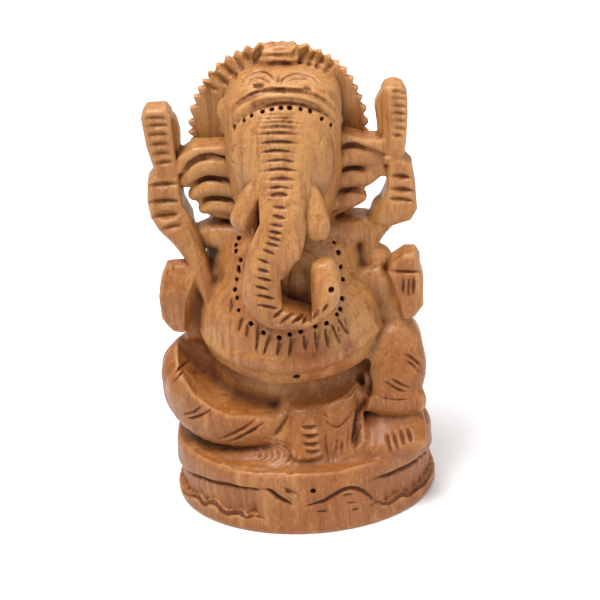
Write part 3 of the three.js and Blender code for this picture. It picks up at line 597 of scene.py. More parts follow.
ears = {
    "leftBack": {"outline": [(-12, 102), (-23, 102), (-27, 99.4), (-27.8, 92.4), (-27.2, 90.4), (-24.8, 90),
                             (-23.2, 85.6), (-20.4, 82), (-12, 79.6)], "depth": (-1.6, 4.4), "edge": 1.0,
                 "blend": 0.8},
    "rightBack": {"outline": [(11, 103.4), (16.6, 103.4), (20.5, 101.8), (26.4, 101.4), (26, 96),
                              (26.6, 91.2), (24.6, 91), (20.6, 88), (19.6, 84.4), (16, 82), (11, 80)],
                  "depth": (-1.8, 4.4), "edge": 1.0, "blend": 0.8},
    # Rolls of the left ear and then of the right one, each from the top down.
    "rolls": [
        [(-25.8, 0, 92.2, 2.2, 2.6), (-23, -0.4, 95.2, 2.9, 3.2), (-18.8, -0.8, 96.6, 3.1, 3.4),
         (-12, -1, 95.2, 3.2, 3.4)],
        [(-23.6, 0, 88, 1.9, 2.6), (-20.8, -0.6, 90.2, 2.7, 3.2), (-17.2, -0.8, 90.6, 2.8, 3.4),
         (-12, -1, 89.4, 2.8, 3.4)],
        [(-21.4, 0, 84, 1.7, 2.4), (-18.6, -0.6, 85.2, 2.4, 3), (-15.6, -0.8, 85, 2.5, 3.2),
         (-11, -1, 83.6, 2.6, 3.2)],
        [(11, -1, 97, 3.1, 3.4), (17.2, -0.9, 97.6, 3.1, 3.4), (21, -0.2, 96.8, 2.7, 2.8),
         (24, 0.8, 95.6, 2.2, 2.4)],
        [(11, -1, 91, 2.9, 3.4), (17, -0.9, 91.6, 2.9, 3.4), (20.6, -0.2, 91, 2.5, 2.8),
         (23.2, 0.8, 92, 2, 2.4)],
        [(11, -1, 85, 2.7, 3.4), (16, -0.9, 85.4, 2.7, 3.2), (18.8, -0.2, 85.6, 2.1, 2.6)],
    ],
    "rollBlend": 0.4,
    "leftTop": {"outline": [(-12, 102), (-23, 102), (-27.2, 99.4), (-28, 94.4), (-26.4, 95), (-24.6, 98),
                            (-21.6, 99.8), (-18.4, 100.2), (-15.8, 99.2), (-12, 98.8)],
                "depth": (-3.2, 4.4), "edge": 1.0, "blend": 0.4},
    "rightTop": {"outline": [(11, 103.6), (16.6, 103.6), (20.6, 102), (26, 101.6), (26, 98), (21.6, 100),
                             (18.6, 101.4), (11, 100.6)], "depth": (-3.0, 4.4), "edge": 1.0, "blend": 0.4},
}


def carveEars():
    block.plank(**ears["leftBack"])
    block.plank(**ears["rightBack"])
    for roll in ears["rolls"]:
        block.limb(roll, (0, 0, 1), ears["rollBlend"])
    block.plank(**ears["leftTop"])
    block.plank(**ears["rightTop"])


head = {
    "barrel": {"stations": [(-0.2, -2, 84.5, 11.5, 9), (0, -3, 90, 13.6, 11.5), (0.2, -4, 97, 14.7, 13.4),
                            (0.4, -4, 104, 14.9, 13.6), (0.5, -2.8, 108.6, 14.6, 12.2),
                            (0.5, -1.2, 112, 13.2, 9.2)], "blend": 1.5},
    "trunk": {"stations": [(0.6, -9.6, 107, 8.5, 7.2), (0.5, -11, 100, 8.6, 7.4), (0, -14.6, 94, 7.4, 6.8),
                           (-1.2, -18.6, 88, 6.3, 5.8), (-2.6, -21.2, 82, 6.4, 5.0),
                           (-5.2, -22.4, 76, 5.6, 4.6), (-6.4, -22.6, 70.4, 5.4, 4.6),
                           (-4.6, -22.8, 65.4, 4.6, 4.6), (0.4, -22.8, 63.2, 3.3, 4.6),
                           (5.4, -22.8, 64.2, 3.3, 4.5), (9.2, -22.6, 68, 3.7, 4.4),
                           (9.8, -22, 72, 3.9, 4.2), (9.6, -21.6, 74.6, 3.3, 3.6)], "wide": (1, 0, 0.15),
              "blend": 1.4, "power": 2.7},
    "flank": {"stations": [(3.6, -16.6, 92.6, 1.8, 2.6), (3.2, -20.4, 86.4, 2.5, 3),
                           (2, -23, 80.4, 2.2, 3)], "blend": 0.6},
    "pocket": {"at": (2.4, -13.2, 69), "r": (6.5, 4.8, 7.5), "blend": 0.8},
    "root": {"at": (-4.4, -14.2, 88.5), "r": (5.4, 4.8, 7.5), "turn": (14, 0, 0), "blend": 1.0},
    "curlFlats": [
        {"at": (2.2, -22, 64.9), "facing": (0.47, -0.12, 0.88), "low": (-1.2, -30, 58),
         "high": (5.6, -18, 74)},
        {"at": (8.4, -24.6, 77.2), "facing": (-0.5, -0.6, 0.6), "low": (6.4, -30, 66),
         "high": (15, -16, 82)},
        {"at": (7.6, -26.2, 71), "facing": (-0.8, -0.7, 0.1), "low": (5.8, -30, 65.5),
         "high": (12, -21, 78)},
    ],
    "leftTusk": {"stations": [(-7, -15.4, 95.4, 2.0, 2.4), (-8.6, -16.2, 92.4, 3.0, 3.2),
                              (-10, -17, 89.4, 3.3, 3.4), (-10.9, -17.2, 87.9, 2.4, 3.0)], "blend": 0.5,
                 "power": 3},
    "rightTusk": {"stations": [(7, -15.4, 94.4, 2.0, 2.4), (7.5, -16.2, 91, 2.9, 3.2),
                               (8, -17.2, 87, 3.4, 3.6), (8.1, -17.6, 84.8, 3.0, 3.2)], "blend": 0.5,
                  "power": 3},
    "tuskFlats": [
        {"at": (-9.2, -20.2, 89), "facing": (0.7, -1, -0.2), "low": (-15, -23, 83),
         "high": (-6.2, -16.6, 96)},
        {"at": (9.4, -21, 87), "facing": (0.7, -1, 0.1), "low": (5, -24, 80), "high": (14, -16.6, 94)},
    ],
    "flatBlend": 0.3,
}


def carveHead():
    for form in ("barrel", "trunk", "flank"):
        block.limb(**head[form])
    block.egg(**head["pocket"])
    block.egg(**head["root"])
    for flat in head["curlFlats"]:
        block.shave(**flat, blend=head["flatBlend"])
    block.limb(**head["leftTusk"])
    block.limb(**head["rightTusk"])
    for flat in head["tuskFlats"]:
        block.shave(**flat, blend=head["flatBlend"])


crown = {
    "dome": {"stations": [(0.5, -1.6, 110.4, 15.2, 11.2), (0.5, 1.6, 110.4, 15.2, 11.2)], "blend": 0.8,
             "power": 2.6},
    "band": [(-14.4, -1.5, 106.4), (-13.4, -4.5, 110), (-10.6, -7.4, 113.8), (-6.6, -9.4, 116.6),
             (-3.1, -10.4, 118), (0.7, -10.8, 118.3), (4.6, -10.7, 118), (8.4, -10, 116.6),
             (12.0, -8, 113.8), (13.8, -5, 110.6), (14.5, -1.8, 107.6)],
    "bandHalf": 1.5,
    "bandBlend": 0.3,
    "rosettes": [(-14.2, -3, 112), (13.3, -3.4, 112.6)],
    "rosette": {"r": (1.8, 2.6, 3.2), "blend": 0.4},
    "topknot": {"outline": [(-5, 112), (-4.8, 123.6), (-3.4, 125.4), (3.8, 125.4), (5.2, 123.6),
                            (5.2, 112)], "depth": (4.2, 7.2), "edge": 1.4, "blend": 1.6},
    "ribs": [(118.2, 1.5, 3.8), (120.4, 1.5, 4.1), (122.6, 1.5, 4.4), (124.6, 1.2, 4.8)],  # z, half height, y
    "ribEnds": (-3.4, 3.8),
    "ribMiddle": 0.3,
    "ribDeep": (1.7, 1.8),
    "ribBlend": 0.5,
}


def carveCrown():
    block.limb(**crown["dome"])
    half = crown["bandHalf"]
    block.limb([(x, y, z, half, half) for x, y, z in crown["band"]], (0, 0, 1), crown["bandBlend"])
    for at in crown["rosettes"]:
        block.egg(at, **crown["rosette"])
    block.plank(**crown["topknot"])
    left, right = crown["ribEnds"]
    out, (deep, deeper) = crown["ribMiddle"], crown["ribDeep"]
    for z, half, y in crown["ribs"]:
        rib = [(left, y, z, half, deep), (out, y - out, z + out, half, deeper), (right, y, z, half, deep)]
        block.limb(rib, (0, 0, 1), crown["ribBlend"])


halo = {
    "x": -1.2,
    "y": 7.8,
    "top": 127.0,
    "radius": 23.5,
    "room": 2,
    "teeth": 49,
    "drifts": [(0.16, 7, 0), (0.12, 11, 1)],  # how the teeth wander from an even spacing
    "sawRise": 0.3,
    "sawDepth": 1.8,
    "bumpDepth": 1.15,
    "bumpPower": 0.8,
    "change": 12,  # width over which saw teeth give way to round ones
    "toothSlope": 0.7,
    "thickness": 5.2,
    "rimThickness": 2.0,
    "thinFrom": 0.62,
    "backSlope": 0.9,
    "dish": 1.6,
    "pastRim": (1.1, 1.2),  # how far past the rim the dish and the thinning go on
    "blend": 0.6,
}


# Saw teeth that lean upwards on the left, and rounder ones on the right, on a disc with a hollowed front and
# a back that thins towards the rim.
def carveHalo():
    r, middle, half = halo["radius"], halo["top"] - halo["radius"], halo["thickness"] / 2
    room, rise, thin = halo["room"], halo["sawRise"], halo["thinFrom"]
    spans, x, y, z = block.part((halo["x"] - r - room, halo["y"] - half - room, middle - r - room),
                                (halo["x"] + r + room, halo["y"] + half + room, middle + r + room))
    dx, dz = x - halo["x"], z - middle
    turn = np.arctan2(dz, dx) - math.pi / 2
    place = turn / (2 * math.pi) * halo["teeth"]
    for share, times, start in halo["drifts"]:
        place = place + share * np.sin(turn * times + start)
    phase = place % 1
    saw = np.where(phase < rise, phase / rise, (1 - phase) / (1 - rise))
    bump = 0.5 - 0.5 * np.cos(2 * math.pi * phase)
    left = np.clip(0.5 - dx / halo["change"], 0, 1)
    notch = halo["sawDepth"] * (1 - saw) * left + halo["bumpDepth"] * bump ** halo["bumpPower"] * (1 - left)
    far = np.sqrt(dx * dx + dz * dz)
    out = np.clip(far / r, 0, halo["pastRim"][0])
    front = halo["y"] - half + halo["dish"] * (1 - out * out)
    thinned = halo["thickness"] - halo["rimThickness"]
    back = halo["y"] + half - thinned * np.clip((out - thin) / (1 - thin), 0, halo["pastRim"][1])
    disc = np.maximum(front - y, (y - back) * halo["backSlope"])
    disc = np.maximum(disc, (far - (r - notch)) * halo["toothSlope"])
    block.add(spans, disc, halo["blend"])


carveArms()
carveHalo()
carveEars()
carveHead()
carveCrown()
print("arms, head, crown and halo carved")


# Random heights on a coarse grid, eased between.
def unevenness(spacings, size, seed):
    draw = np.random.default_rng(seed)
    counts = [int(math.ceil((h - l) / s)) + 3 for l, h, s in zip(wood["low"], wood["high"], spacings)]
    values = draw.uniform(-1, 1, counts).astype(np.float32)
    for axis in range(3):
        at = np.arange(size[axis]) * wood["spacing"] / spacings[axis]
        low = at.astype(int)
        t = (at - low).astype(np.float32)
        t = t * t * (3 - 2 * t)
        shape = [1, 1, 1]
        shape[axis] = -1
        t = t.reshape(shape)
        values = values.take(low, axis) * (1 - t) + values.take(low + 1, axis) * t
    return values


def roughen():
    fade = np.clip((block.axes[2] - knife["evenBelow"]) / knife["evenFade"], 0, 1)[None, None, :]
    for grain in ("coarse", "fine"):
        heights = unevenness(knife[grain], block.size, knife[grain + "Seed"])
        block.field += heights * knife[grain + "Depth"] * fade


roughen()
block.beginMarks()
print("surface left slightly uneven")

draw = np.random.default_rng(knife["markSeed"])

# Broad cuts, each with its width, its depth and then its lines, set out by where they are seen in the
# picture.
broadCuts = {
    "crown hollows": (2.6, 0.9,
                      [[(253, 85), (259, 85.5), (265, 87)], [(302, 90), (307, 90.5), (312, 92)],
                       [(223, 106), (224.5, 109), (224.5, 113)], [(329, 92), (333, 96), (335, 101)]]),
    "above brow": (2.4, 1.6, [[(229, 116), (235, 107), (243, 100.5), (256, 93.5), (270, 90.5), (290, 90.5),
                               (305, 92.5), (318, 97.5), (331, 106), (338, 113)]]),
    "below brow": (3.0, 1.3,
                   [[(229, 131), (235, 122), (243, 114), (254, 107), (267, 103), (281, 101.5), (296, 102),
                     (311, 105.5), (324, 112), (335, 120), (340, 127)]]),
    "left emblem": (2.6, 1.4,
                    [[(144, 119), (167, 119)], [(146, 127), (168.5, 126)], [(147, 136), (169, 135)],
                     [(149.5, 146), (169, 144.5)], [(151.5, 155.5), (171, 153.5)],
                     [(154, 165), (174, 162)]]),
    "right emblem": (2.2, 1.3, [[(391, v), (406.5, v + 1.5)] for v in np.arange(8) * 7.4 + 84]),
    "left fist": (2.8, 1.7,
                  [[(148, 186.5), (178, 184)], [(148, 203), (179, 201.5)], [(152, 218), (180, 214)],
                   [(158, 231), (182, 225)]]),
    "right fist": (2.6, 1.6,
                   [[(390, 176.5), (411, 178.5)], [(389, 189.5), (414.5, 192)], [(388, 199), (414, 202)]]),
    "left ear": (1.8, 1.0, [[(184, 174), (190, 165), (197, 160), (210, 157), (222, 160)],
                            [(194, 188), (200, 181), (208, 178), (217, 179), (227, 183)],
                            [(201, 204), (206, 199.5), (212, 198), (221, 199), (230, 202)]]),
    "right ear": (1.8, 0.9, [[(341, 148.5), (348, 146), (357, 146), (368, 150.5)],
                             [(342, 171), (348, 167.5), (355, 167), (366, 170.5)],
                             [(343, 194), (347, 189.5), (353, 188.5), (366, 193)]]),
    "leg notch": (2.2, 1.4, [[(288, 412), (283, 423), (273, 438)]]),
    "thigh fold": (1.4, 0.7, [[(188, 372), (197, 372.5), (208, 371.5)]]),
    "valley": (3.4, 2.2, [[(368, 368), (368, 388), (362, 405), (357, 425), (353, 442)]]),
    "topknot": (1.5, 0.6,
                [[(265, 43.5), (286, 43)], [(266, 49.5), (292, 49.5)], [(268, 56), (282, 56), (296, 59)],
                 [(266, 64), (280, 63), (294, 64.5)]]),
    "flutes": (3.0, 1.8, [[(216, 62), (226, 70), (237, 78)], [(207, 71.5), (217, 78), (228, 85)],
                          [(263, 42), (260, 51), (254, 64)], [(311, 43), (305, 54), (299, 64)],
                          [(320, 45), (314, 55), (308, 66)], [(330, 51), (323, 59), (316, 68)]]),
    "lesser flutes": (2.4, 1.1, [[(228, 53), (235, 61), (243, 70)], [(240, 47), (245, 55), (250, 64)],
                                 [(300, 41), (297, 50), (292, 59)], [(339, 60), (331, 66), (324, 73)],
                                 [(200, 82), (209, 87), (219, 92)]]),
    "trough": (1.6, 0.35,
               [[(196, 447), (225, 449), (262, 448), (290, 447)],
                [(206, 455), (232, 460), (262, 458), (286, 452)],
                [(222, 467), (250, 470), (276, 468), (293, 458)],
                [(250, 474), (282, 475), (299, 467), (303, 456)], [(238, 452), (262, 455), (280, 451)]]),
}

# The hem, a ridge left standing round the belly.
hem = {
    "line": [(202, 331), (206, 338), (215, 347), (230, 356), (248, 361), (270, 364), (292, 365), (312, 363),
             (332, 357), (350, 348), (366, 338), (380, 326)],
    "width": 5.0, "depth": 1.5, "blend": 1.6, "raised": True,
}


def varied(size):
    return size * draw.uniform(*knife["spread"])


for width, depth, lines in broadCuts.values():
    for line in lines:
        block.mark(line, varied(width), varied(depth), knife["broadBlend"])
block.mark(**hem)
block.still = block.field.copy()
print("broad cuts made")

# Marks are set out by where they are seen in the picture, in its pixels.
trunkMarks = {
    "forehead": [(260, 303, 115), (257, 305, 118.5), (256, 305, 122.5), (255, 303, 127.5), (253, 303, 134),
                 (257, 301, 143), (260, 295, 152), (263, 296, 161.5), (261, 300, 170.5), (266, 297, 179.5),
                 (267, 292, 188), (270, 288, 195)],
    "faint": 0.55,  # the size of the highest row beside the others
    "grows": 0.12,
    "arch": (1.56, 1.04),  # pixels down at the ends and up in the middle
    "longer": 3.0,
    "width": (1.3, 1.6),
    "depth": (0.9, 1.15),
    "blunt": 0.7,
    "side": {"line": [(296, 262), (290, 272), (288, 285), (290, 298)], "width": 1.2, "depth": 0.6},
    "trunk": [((271, 288), (206.5, 208.5)), ((270, 287), (215, 219)), ((268, 285), (224, 227)),
              ((267, 284), (231, 235)), ((266, 282), (237, 242)), ((264, 281), (243, 248)),
              ((261, 276), (249, 256)), ((256, 271), (258.5, 265)), ((255.5, 271), (269, 273.5)),
              ((254, 274.5), (277.5, 282.5)), ((252, 271), (286, 291)), ((254, 277), (295, 300)),
              ((256, 279), (305, 309.5)), ((272, 284), (319.5, 309)), ((279, 296), (325, 310.5)),
              ((290, 306), (325.5, 312.5)), ((302, 308), (326, 314.5)), ((312, 319), (322, 309)),
              ((322, 329), (314, 303))],
}


def markTrunk():
    down, up = trunkMarks["arch"]
    for i, (left, right, v) in enumerate(trunkMarks["forehead"]):
        size = min(trunkMarks["faint"] + trunkMarks["grows"] * i, 1)
        left, right = left - trunkMarks["longer"], right + trunkMarks["longer"]
        line = [(left, v + down), ((left + right) / 2, v - up), (right, v + down)]
        width, depth = (draw.uniform(*trunkMarks[side]) * size for side in ("width", "depth"))
        block.mark(line, width, depth, blunt=trunkMarks["blunt"])
    for us, vs in trunkMarks["trunk"]:
        width, depth = (draw.uniform(*trunkMarks[side]) for side in ("width", "depth"))
        block.mark(list(zip(us, vs)), width, depth)
    block.mark(**trunkMarks["side"])


dots = {
    "radius": 0.62,
    "depth": 1.5,
    "spread": (0.85, 1.15),
    "necklace": [(238.6, 238), (235.7, 245), (235.7, 251), (240, 260), (238.3, 267.4), (238, 271),
                 (236, 279.3), (234.7, 289.3), (236.7, 297.6), (238.1, 310.4), (250.4, 323.9),
                 (263.3, 332.9), (279, 337.9), (289.6, 334.7), (300.7, 331.4), (315.3, 326.4),
                 (326.7, 323.3), (337.1, 314.3), (340.4, 308.9), (342.4, 298.3), (341.4, 290.7), (343, 279),
                 (341.5, 267), (339.3, 252.1), (334.3, 242.1)],
    "brow": [(234, 127), (243, 120), (251, 115.5), (262, 111), (271.5, 109), (281, 107.5), (290, 107.5),
             (301, 109), (311, 111), (322.5, 119), (331.5, 125)],
}


# Strokes out from the necklace: a long one and a finer one beside it, each longer than the line given.
fringe = {
    "lines": [((241, 319), (238, 330)), ((231, 300), (229, 312)), ((247, 325), (246, 336)),
              ((257.5, 328), (256, 348)), ((268.5, 337.5), (264, 353)), ((278.5, 343), (277, 354)),
              ((291, 340), (289, 354.5)), ((304, 337), (305, 349)), ((315, 333), (316.5, 347.5)),
              ((325.5, 331), (327.5, 345)), ((333, 327), (339, 341)), ((339, 320), (347, 332))],
    "longer": 0.3,
    "beside": 4.5,
    "fineLonger": 1.5,
    "stroke": {"width": 1.1, "depth": 1.0, "blunt": 0.3},
    "fineStroke": {"width": 0.8, "depth": 0.6, "blunt": 0.3},
}

# Short hatching at the right, out from the dots, set round an oval in the picture.
hatching = {
    "count": 22,
    "from": -62,
    "step": 6,
    "at": (290, 285),
    "oval": (60, 46),
    "reach": (6, 11),
    "lean": 0.5,
    "stroke": {"width": 0.7, "depth": 0.3},
}

holes = {
    "navel": {"at": (296.5, 377), "radius": 0.95, "depth": 1.6},
    "trunk tip": {"at": (331.5, 290), "radius": 0.8, "depth": 1.2},
    "mouse's eye": {"at": (313, 491.5), "radius": 0.75, "depth": 0.9},
}


def markNecklace():
    for at in [*dots["necklace"], *dots["brow"]]:
        block.drill(at, dots["radius"] * draw.uniform(*dots["spread"]), dots["depth"])
    for (u0, v0), (u1, v1) in fringe["lines"]:
        du, dv = fringe["longer"] * (u1 - u0), fringe["longer"] * (v1 - v0)
        block.mark([(u0 - du, v0 - dv), (u1 + du, v1 + dv)], **fringe["stroke"])
        fine = [(u0 + fringe["beside"], v0 - dv), (u1 + fringe["fineLonger"] * du, v1 + dv)]
        block.mark(fine, **fringe["fineStroke"])
    (u0, v0), (across, tall) = hatching["at"], hatching["oval"]
    for i in range(hatching["count"]):
        turn = math.radians(hatching["from"] + hatching["step"] * i)
        u, v = u0 + math.cos(turn) * across, v0 + math.sin(-turn) * tall
        reach, turn = draw.uniform(*hatching["reach"]), turn - hatching["lean"]
        block.mark([(u, v), (u + reach * math.cos(turn), v - reach * math.sin(turn))], **hatching["stroke"])
    block.drill(**holes["navel"])
    block.drill(**holes["trunk tip"])


# Width and depth, then lines.
smallMarks = {
    "left eye": (0.8, 0.5, [[(227, 154), (231, 147), (237, 143.5)], [(237, 143.5), (242, 149), (246, 155)],
                            [(228, 155), (231, 161), (236, 164)], [(236, 145), (232, 150), (229, 157)],
                            [(237, 146), (238.5, 153), (237, 160)], [(240, 149), (242, 156), (241, 162)]]),
    "right eye": (0.9, 0.5, [[(319, 147), (321.5, 139), (324, 135)], [(324, 136), (325, 147)],
                             [(327.5, 136), (330, 141), (329, 148)], [(332, 139), (335, 148)]]),
    "brow": (1.4, 0.8,
             [[(229, 116), (235, 106), (243, 99.5), (256, 93), (270, 90.5), (290, 90.5), (305, 92),
               (318, 97), (331, 105.5), (338, 113)],
              [(231, 134), (236, 124), (244, 116), (254, 109.5), (267, 105.5), (281, 103.5), (296, 104),
               (311, 107.5), (324, 113.5), (335, 122)]]),
    "scrolls": (1.7, 1.0,
                [[(240, 84), (244, 77.5), (252, 72.5), (261, 70.5), (269, 73), (275, 81)],
                 [(281, 86), (282, 79), (289, 74.5), (298, 72.5), (308, 74.5), (316, 79), (321, 86)]]),
    "chisel pits": (2.4, 0.8, [[(253, 88), (258, 85.5), (264, 87)], [(302, 90), (307, 88.5), (312, 91)]]),
    "scroll hollows": (1.3, 0.6,
                       [[(246, 86), (250, 79), (258, 76.5), (266, 80), (270, 86)],
                        [(286, 84), (291, 79), (301, 77.5), (311, 81)], [(278, 72), (277.5, 86)]]),
    "sweet": (1.0, 0.8, [[(389, 271), (421, 272)]]),
    "fingers": (1.2, 0.9,
                [[(403.5, 277), (403, 297)], [(409, 277.5), (408, 299)], [(413.5, 276), (413, 297)]]),
    "palm": (0.9, 0.5, [[(168, 264), (167, 278)], [(173, 262), (173.5, 276)]]),
    "left thigh": (1.0, 0.8,
                   [[(171.5, 376), (180, 368), (191.5, 359)], [(171, 385), (178, 376), (186, 370)]]),
    "left knee": (1.1, 0.9,
                  [[(182, 414.5), (193, 412.5), (203, 405)],
                   [(184, 419), (195, 417.5), (206, 413), (213, 407.5)]]),
    "left shin": (1.1, 0.95, [[(218, 440.5), (232, 434.5), (246, 427), (259, 416.5)],
                              [(228, 442.5), (240, 437.5), (252, 431), (267, 421)]]),
    "right thigh": (1.0, 0.8,
                    [[(402, 353), (411, 357), (419, 364), (422.5, 371)],
                     [(405, 360), (413, 365), (421, 373)]]),
    "right shin": (1.1, 0.9,
                   [[(382, 380), (391, 386), (401, 391), (409.5, 392)],
                    [(389, 377), (398, 383), (406, 387), (412, 389)]]),
    "pleats": (1.6, 1.1, [[(299, 426), (309, 427.5), (320, 425)], [(300, 434.5), (310, 436.5), (321, 434)],
                          [(301, 443), (311, 445), (322, 442)], [(303, 450), (312, 452.5), (322, 450.5)]]),
    "drape": (1.0, 0.7, [[(321, 417), (328, 424), (337, 428), (346, 421), (356, 409)],
                         [(343, 399), (350, 394), (358, 384)], [(322, 411), (326, 417), (331, 419)]]),
    "skirt": (1.2, 0.6,
              [[(350, 425), (348, 445), (347, 460)], [(338, 430), (336, 448), (333, 462)],
               [(325, 428), (326, 445), (330, 465)], [(357, 430), (355, 450)], [(342, 440), (341, 458)]]),
    "cuff": (1.0, 0.8, [[(373, 394), (384, 398), (398, 400), (412, 399)]]),
    "toes": (1.5, 0.9, [[(386, 431), (391, 454)], [(393, 429), (398, 450.5)], [(400, 427), (405, 447)],
                        [(407, 425), (412, 443.5)]]),
    "foot edge": (1.9, 1.2,
                  [[(180, 485), (184, 493), (190, 494.5), (197, 496), (203, 503.5), (210, 501), (217, 505),
                    (224, 512.5), (238, 512), (245, 516.5), (255, 515), (268, 521.5)],
                   [(368, 508), (378, 502.5), (386, 503.5), (395, 499.5), (401, 494), (410, 493.5),
                    (418, 487), (425, 482.5), (432, 471)]]),
    "lip": (1.5, 1.0,
            [[(177, 462), (183, 468), (192, 474), (204, 479), (216, 483), (230, 485), (246, 488),
              (264, 490)],
             [(367, 482), (378, 478), (389, 474.5), (400, 470), (411, 464.5), (421, 457), (431, 447)]]),
    "mouse": (1.7, 1.4,
              [[(262, 489.5), (270, 491), (277, 497), (285, 501.5), (293, 505.5)],
               [(302, 507), (312, 505), (325, 501), (335, 495), (345, 490), (353, 488.5), (361, 490.5),
                (368, 495), (374, 500), (379, 503.5)]]),
    "mouse's ear": (1.3, 0.9, [[(281, 487), (290, 491.5), (298, 495)], [(284, 491), (291, 494.5)]]),
    "mouse's paws": (1.2, 0.8,
                     [[(314, 512), (331, 512)], [(341, 496), (353, 494)], [(344, 504), (359, 502.5)],
                      [(350, 511), (361, 508.5)]]),
}


# Rounds of the gouge in the plinth's top, one inside another.
trough = {
    "at": (252, 455),
    "arcs": 7,
    "reach": (8, 6.2),
    "rise": (3, 2.3),
    "turns": (-115, -70, -30, 10, 50, 95),
    "stroke": {"width": 0.8, "depth": 0.32},
}


def markSmallThings():
    for width, depth, lines in smallMarks.values():
        for line in lines:
            block.mark(line, varied(width), varied(depth))
    block.drill(**holes["mouse's eye"])
    (u, v), turns = trough["at"], [math.radians(a) for a in trough["turns"]]
    for i in range(trough["arcs"]):
        reach, rise = (first + more * i for first, more in (trough["reach"], trough["rise"]))
        block.mark([(u + reach * math.cos(a), v + rise * math.sin(a)) for a in turns], **trough["stroke"])


markTrunk()
markNecklace()
markSmallThings()
print("marks cut")


# How much wood surrounds each point, from 0 in the open to 1 deep inside: about a half on a flat face.
def crowding(radius):
    full = np.clip(0.5 - block.field / block.spacing, 0, 1).astype(np.float32)
    n = max(int(round(radius / block.spacing)), 1)
    for _ in range(2):
        for axis in range(3):
            total = np.cumsum(full, axis=axis, dtype=np.float32)
            size = full.shape[axis]
            high = np.minimum(np.arange(size) + n, size - 1)
            low = np.maximum(np.arange(size) - n - 1, 0)
            full = (total.take(high, axis) - total.take(low, axis)) / (2 * n + 1)
    return full


def sampleAt(values, points):
    at = (points - block.low) / block.spacing
    low = np.clip(at.astype(int), 0, np.array(block.size) - 2)
    share = at - low
    total = np.zeros(len(points))
    for corner in np.ndindex(2, 2, 2):
        weight = np.prod(np.where(corner, share, 1 - share), axis=1)
        total += weight * values[tuple((low + corner).T)]
    return total


def meshFrom(name, points, faces):
    mesh = bpy.data.meshes.new(name)
    mesh.vertices.add(len(points))
    mesh.vertices.foreach_set("co", points.astype(np.float32).ravel())
    mesh.loops.add(faces.size)
    mesh.loops.foreach_set("vertex_index", faces.astype(np.int32).ravel())
    mesh.polygons.add(len(faces))
    mesh.polygons.foreach_set("loop_start", np.arange(0, faces.size, faces.shape[1], dtype=np.int32))
    mesh.update(calc_edges=True)
    mesh.validate()
    return mesh


def makeFigure():
    points, faces = block.surface()
    print("surface:", len(points), "points")
    figure = bpy.data.objects.new("carvedFigure", meshFrom("carvedFigure", points, faces))
    bpy.context.collection.objects.link(figure)
    thin = figure.modifiers.new("fewer faces", "DECIMATE")
    thin.ratio = min(wood["faces"] / (2 * len(faces)), 1)
    bpy.context.view_layer.update()
    carved = bpy.data.meshes.new_from_object(figure.evaluated_get(bpy.context.evaluated_depsgraph_get()))
    figure.modifiers.clear()
    figure.data = carved
    places = np.zeros(len(carved.vertices) * 3, np.float32)
    carved.vertices.foreach_get("co", places)
    places = places.reshape(-1, 3)
    # Crowding close by and widely, and the depth of the fine cuts, are kept on the points. They paint shade
    # into crevices and cuts, and highlights onto edges, in the wood's colour.
    layers = {"closeCrowding": crowding(wood["closeBy"]), "wideCrowding": crowding(wood["widely"]),
              "cutShadeDepth": -block.still}
    for name, values in layers.items():
        layer = carved.attributes.new(name, "FLOAT", "POINT")
        layer.data.foreach_set("value", sampleAt(values, places).astype(np.float32))
    places[:, 0] += wood["centring"]
    places[:, 2] = np.maximum(places[:, 2], 0)
    carved.vertices.foreach_set("co", (places * wood["metre"]).ravel())
    carved.polygons.foreach_set("use_smooth", np.ones(len(carved.polygons), bool))
    carved.update()
    return figure


figure = makeFigure()
print("figure meshed:", len(figure.data.polygons), "faces")


# Wraps a socket, so that shader maths reads as plain expressions.
class Wire:
    def __init__(self, finish, socket):
        self.finish, self.socket = finish, socket

    def maths(self, operation, first, second):
        return self.finish.node("ShaderNodeMath", {"operation": operation}, {0: first, 1: second})

    def __add__(self, other):
        return self.maths("ADD", self, other)

    def __radd__(self, other):
        return self.maths("ADD", other, self)

    def __sub__(self, other):
        return self.maths("SUBTRACT", self, other)

    def __rsub__(self, other):
        return self.maths("SUBTRACT", other, self)

    def __mul__(self, other):
        return self.maths("MULTIPLY", self, other)

    def __rmul__(self, other):
        return self.maths("MULTIPLY", other, self)


class Finish:
    def __init__(self, name):
        self.material = bpy.data.materials.new(name)
        self.material.use_nodes = True
        self.tree = self.material.node_tree
        self.tree.nodes.clear()

    def node(self, kind, settings, sockets, output=0):
        made = self.tree.nodes.new(kind)
        for name, value in settings.items():
            setattr(made, name, value)
        for name, value in sockets.items():
            if isinstance(value, Wire):
                self.tree.links.new(value.socket, made.inputs[name])
            else:
                made.inputs[name].default_value = value
        return Wire(self, made.outputs[output]) if made.outputs else None

    def between(self, value, low, high):  # eases from 0 to 1 as value goes from low to high
        return self.node("ShaderNodeMapRange", {"interpolation_type": "SMOOTHSTEP"},
                         {"Value": value, "From Min": low, "From Max": high})

    def tint(self, share, first, second):
        return self.node("ShaderNodeMix", {"data_type": "RGBA"}, {0: share, 6: first, 7: second}, 2)

    def stretch(self, vector, scale):
        return self.node("ShaderNodeVectorMath", {"operation": "MULTIPLY"}, {0: vector, 1: scale})

    def noise(self, vector, detail=3.0, roughness=0.5):
        return self.node("ShaderNodeTexNoise", {}, {"Vector": vector, "Scale": 1.0, "Detail": detail,
                                                    "Roughness": roughness})


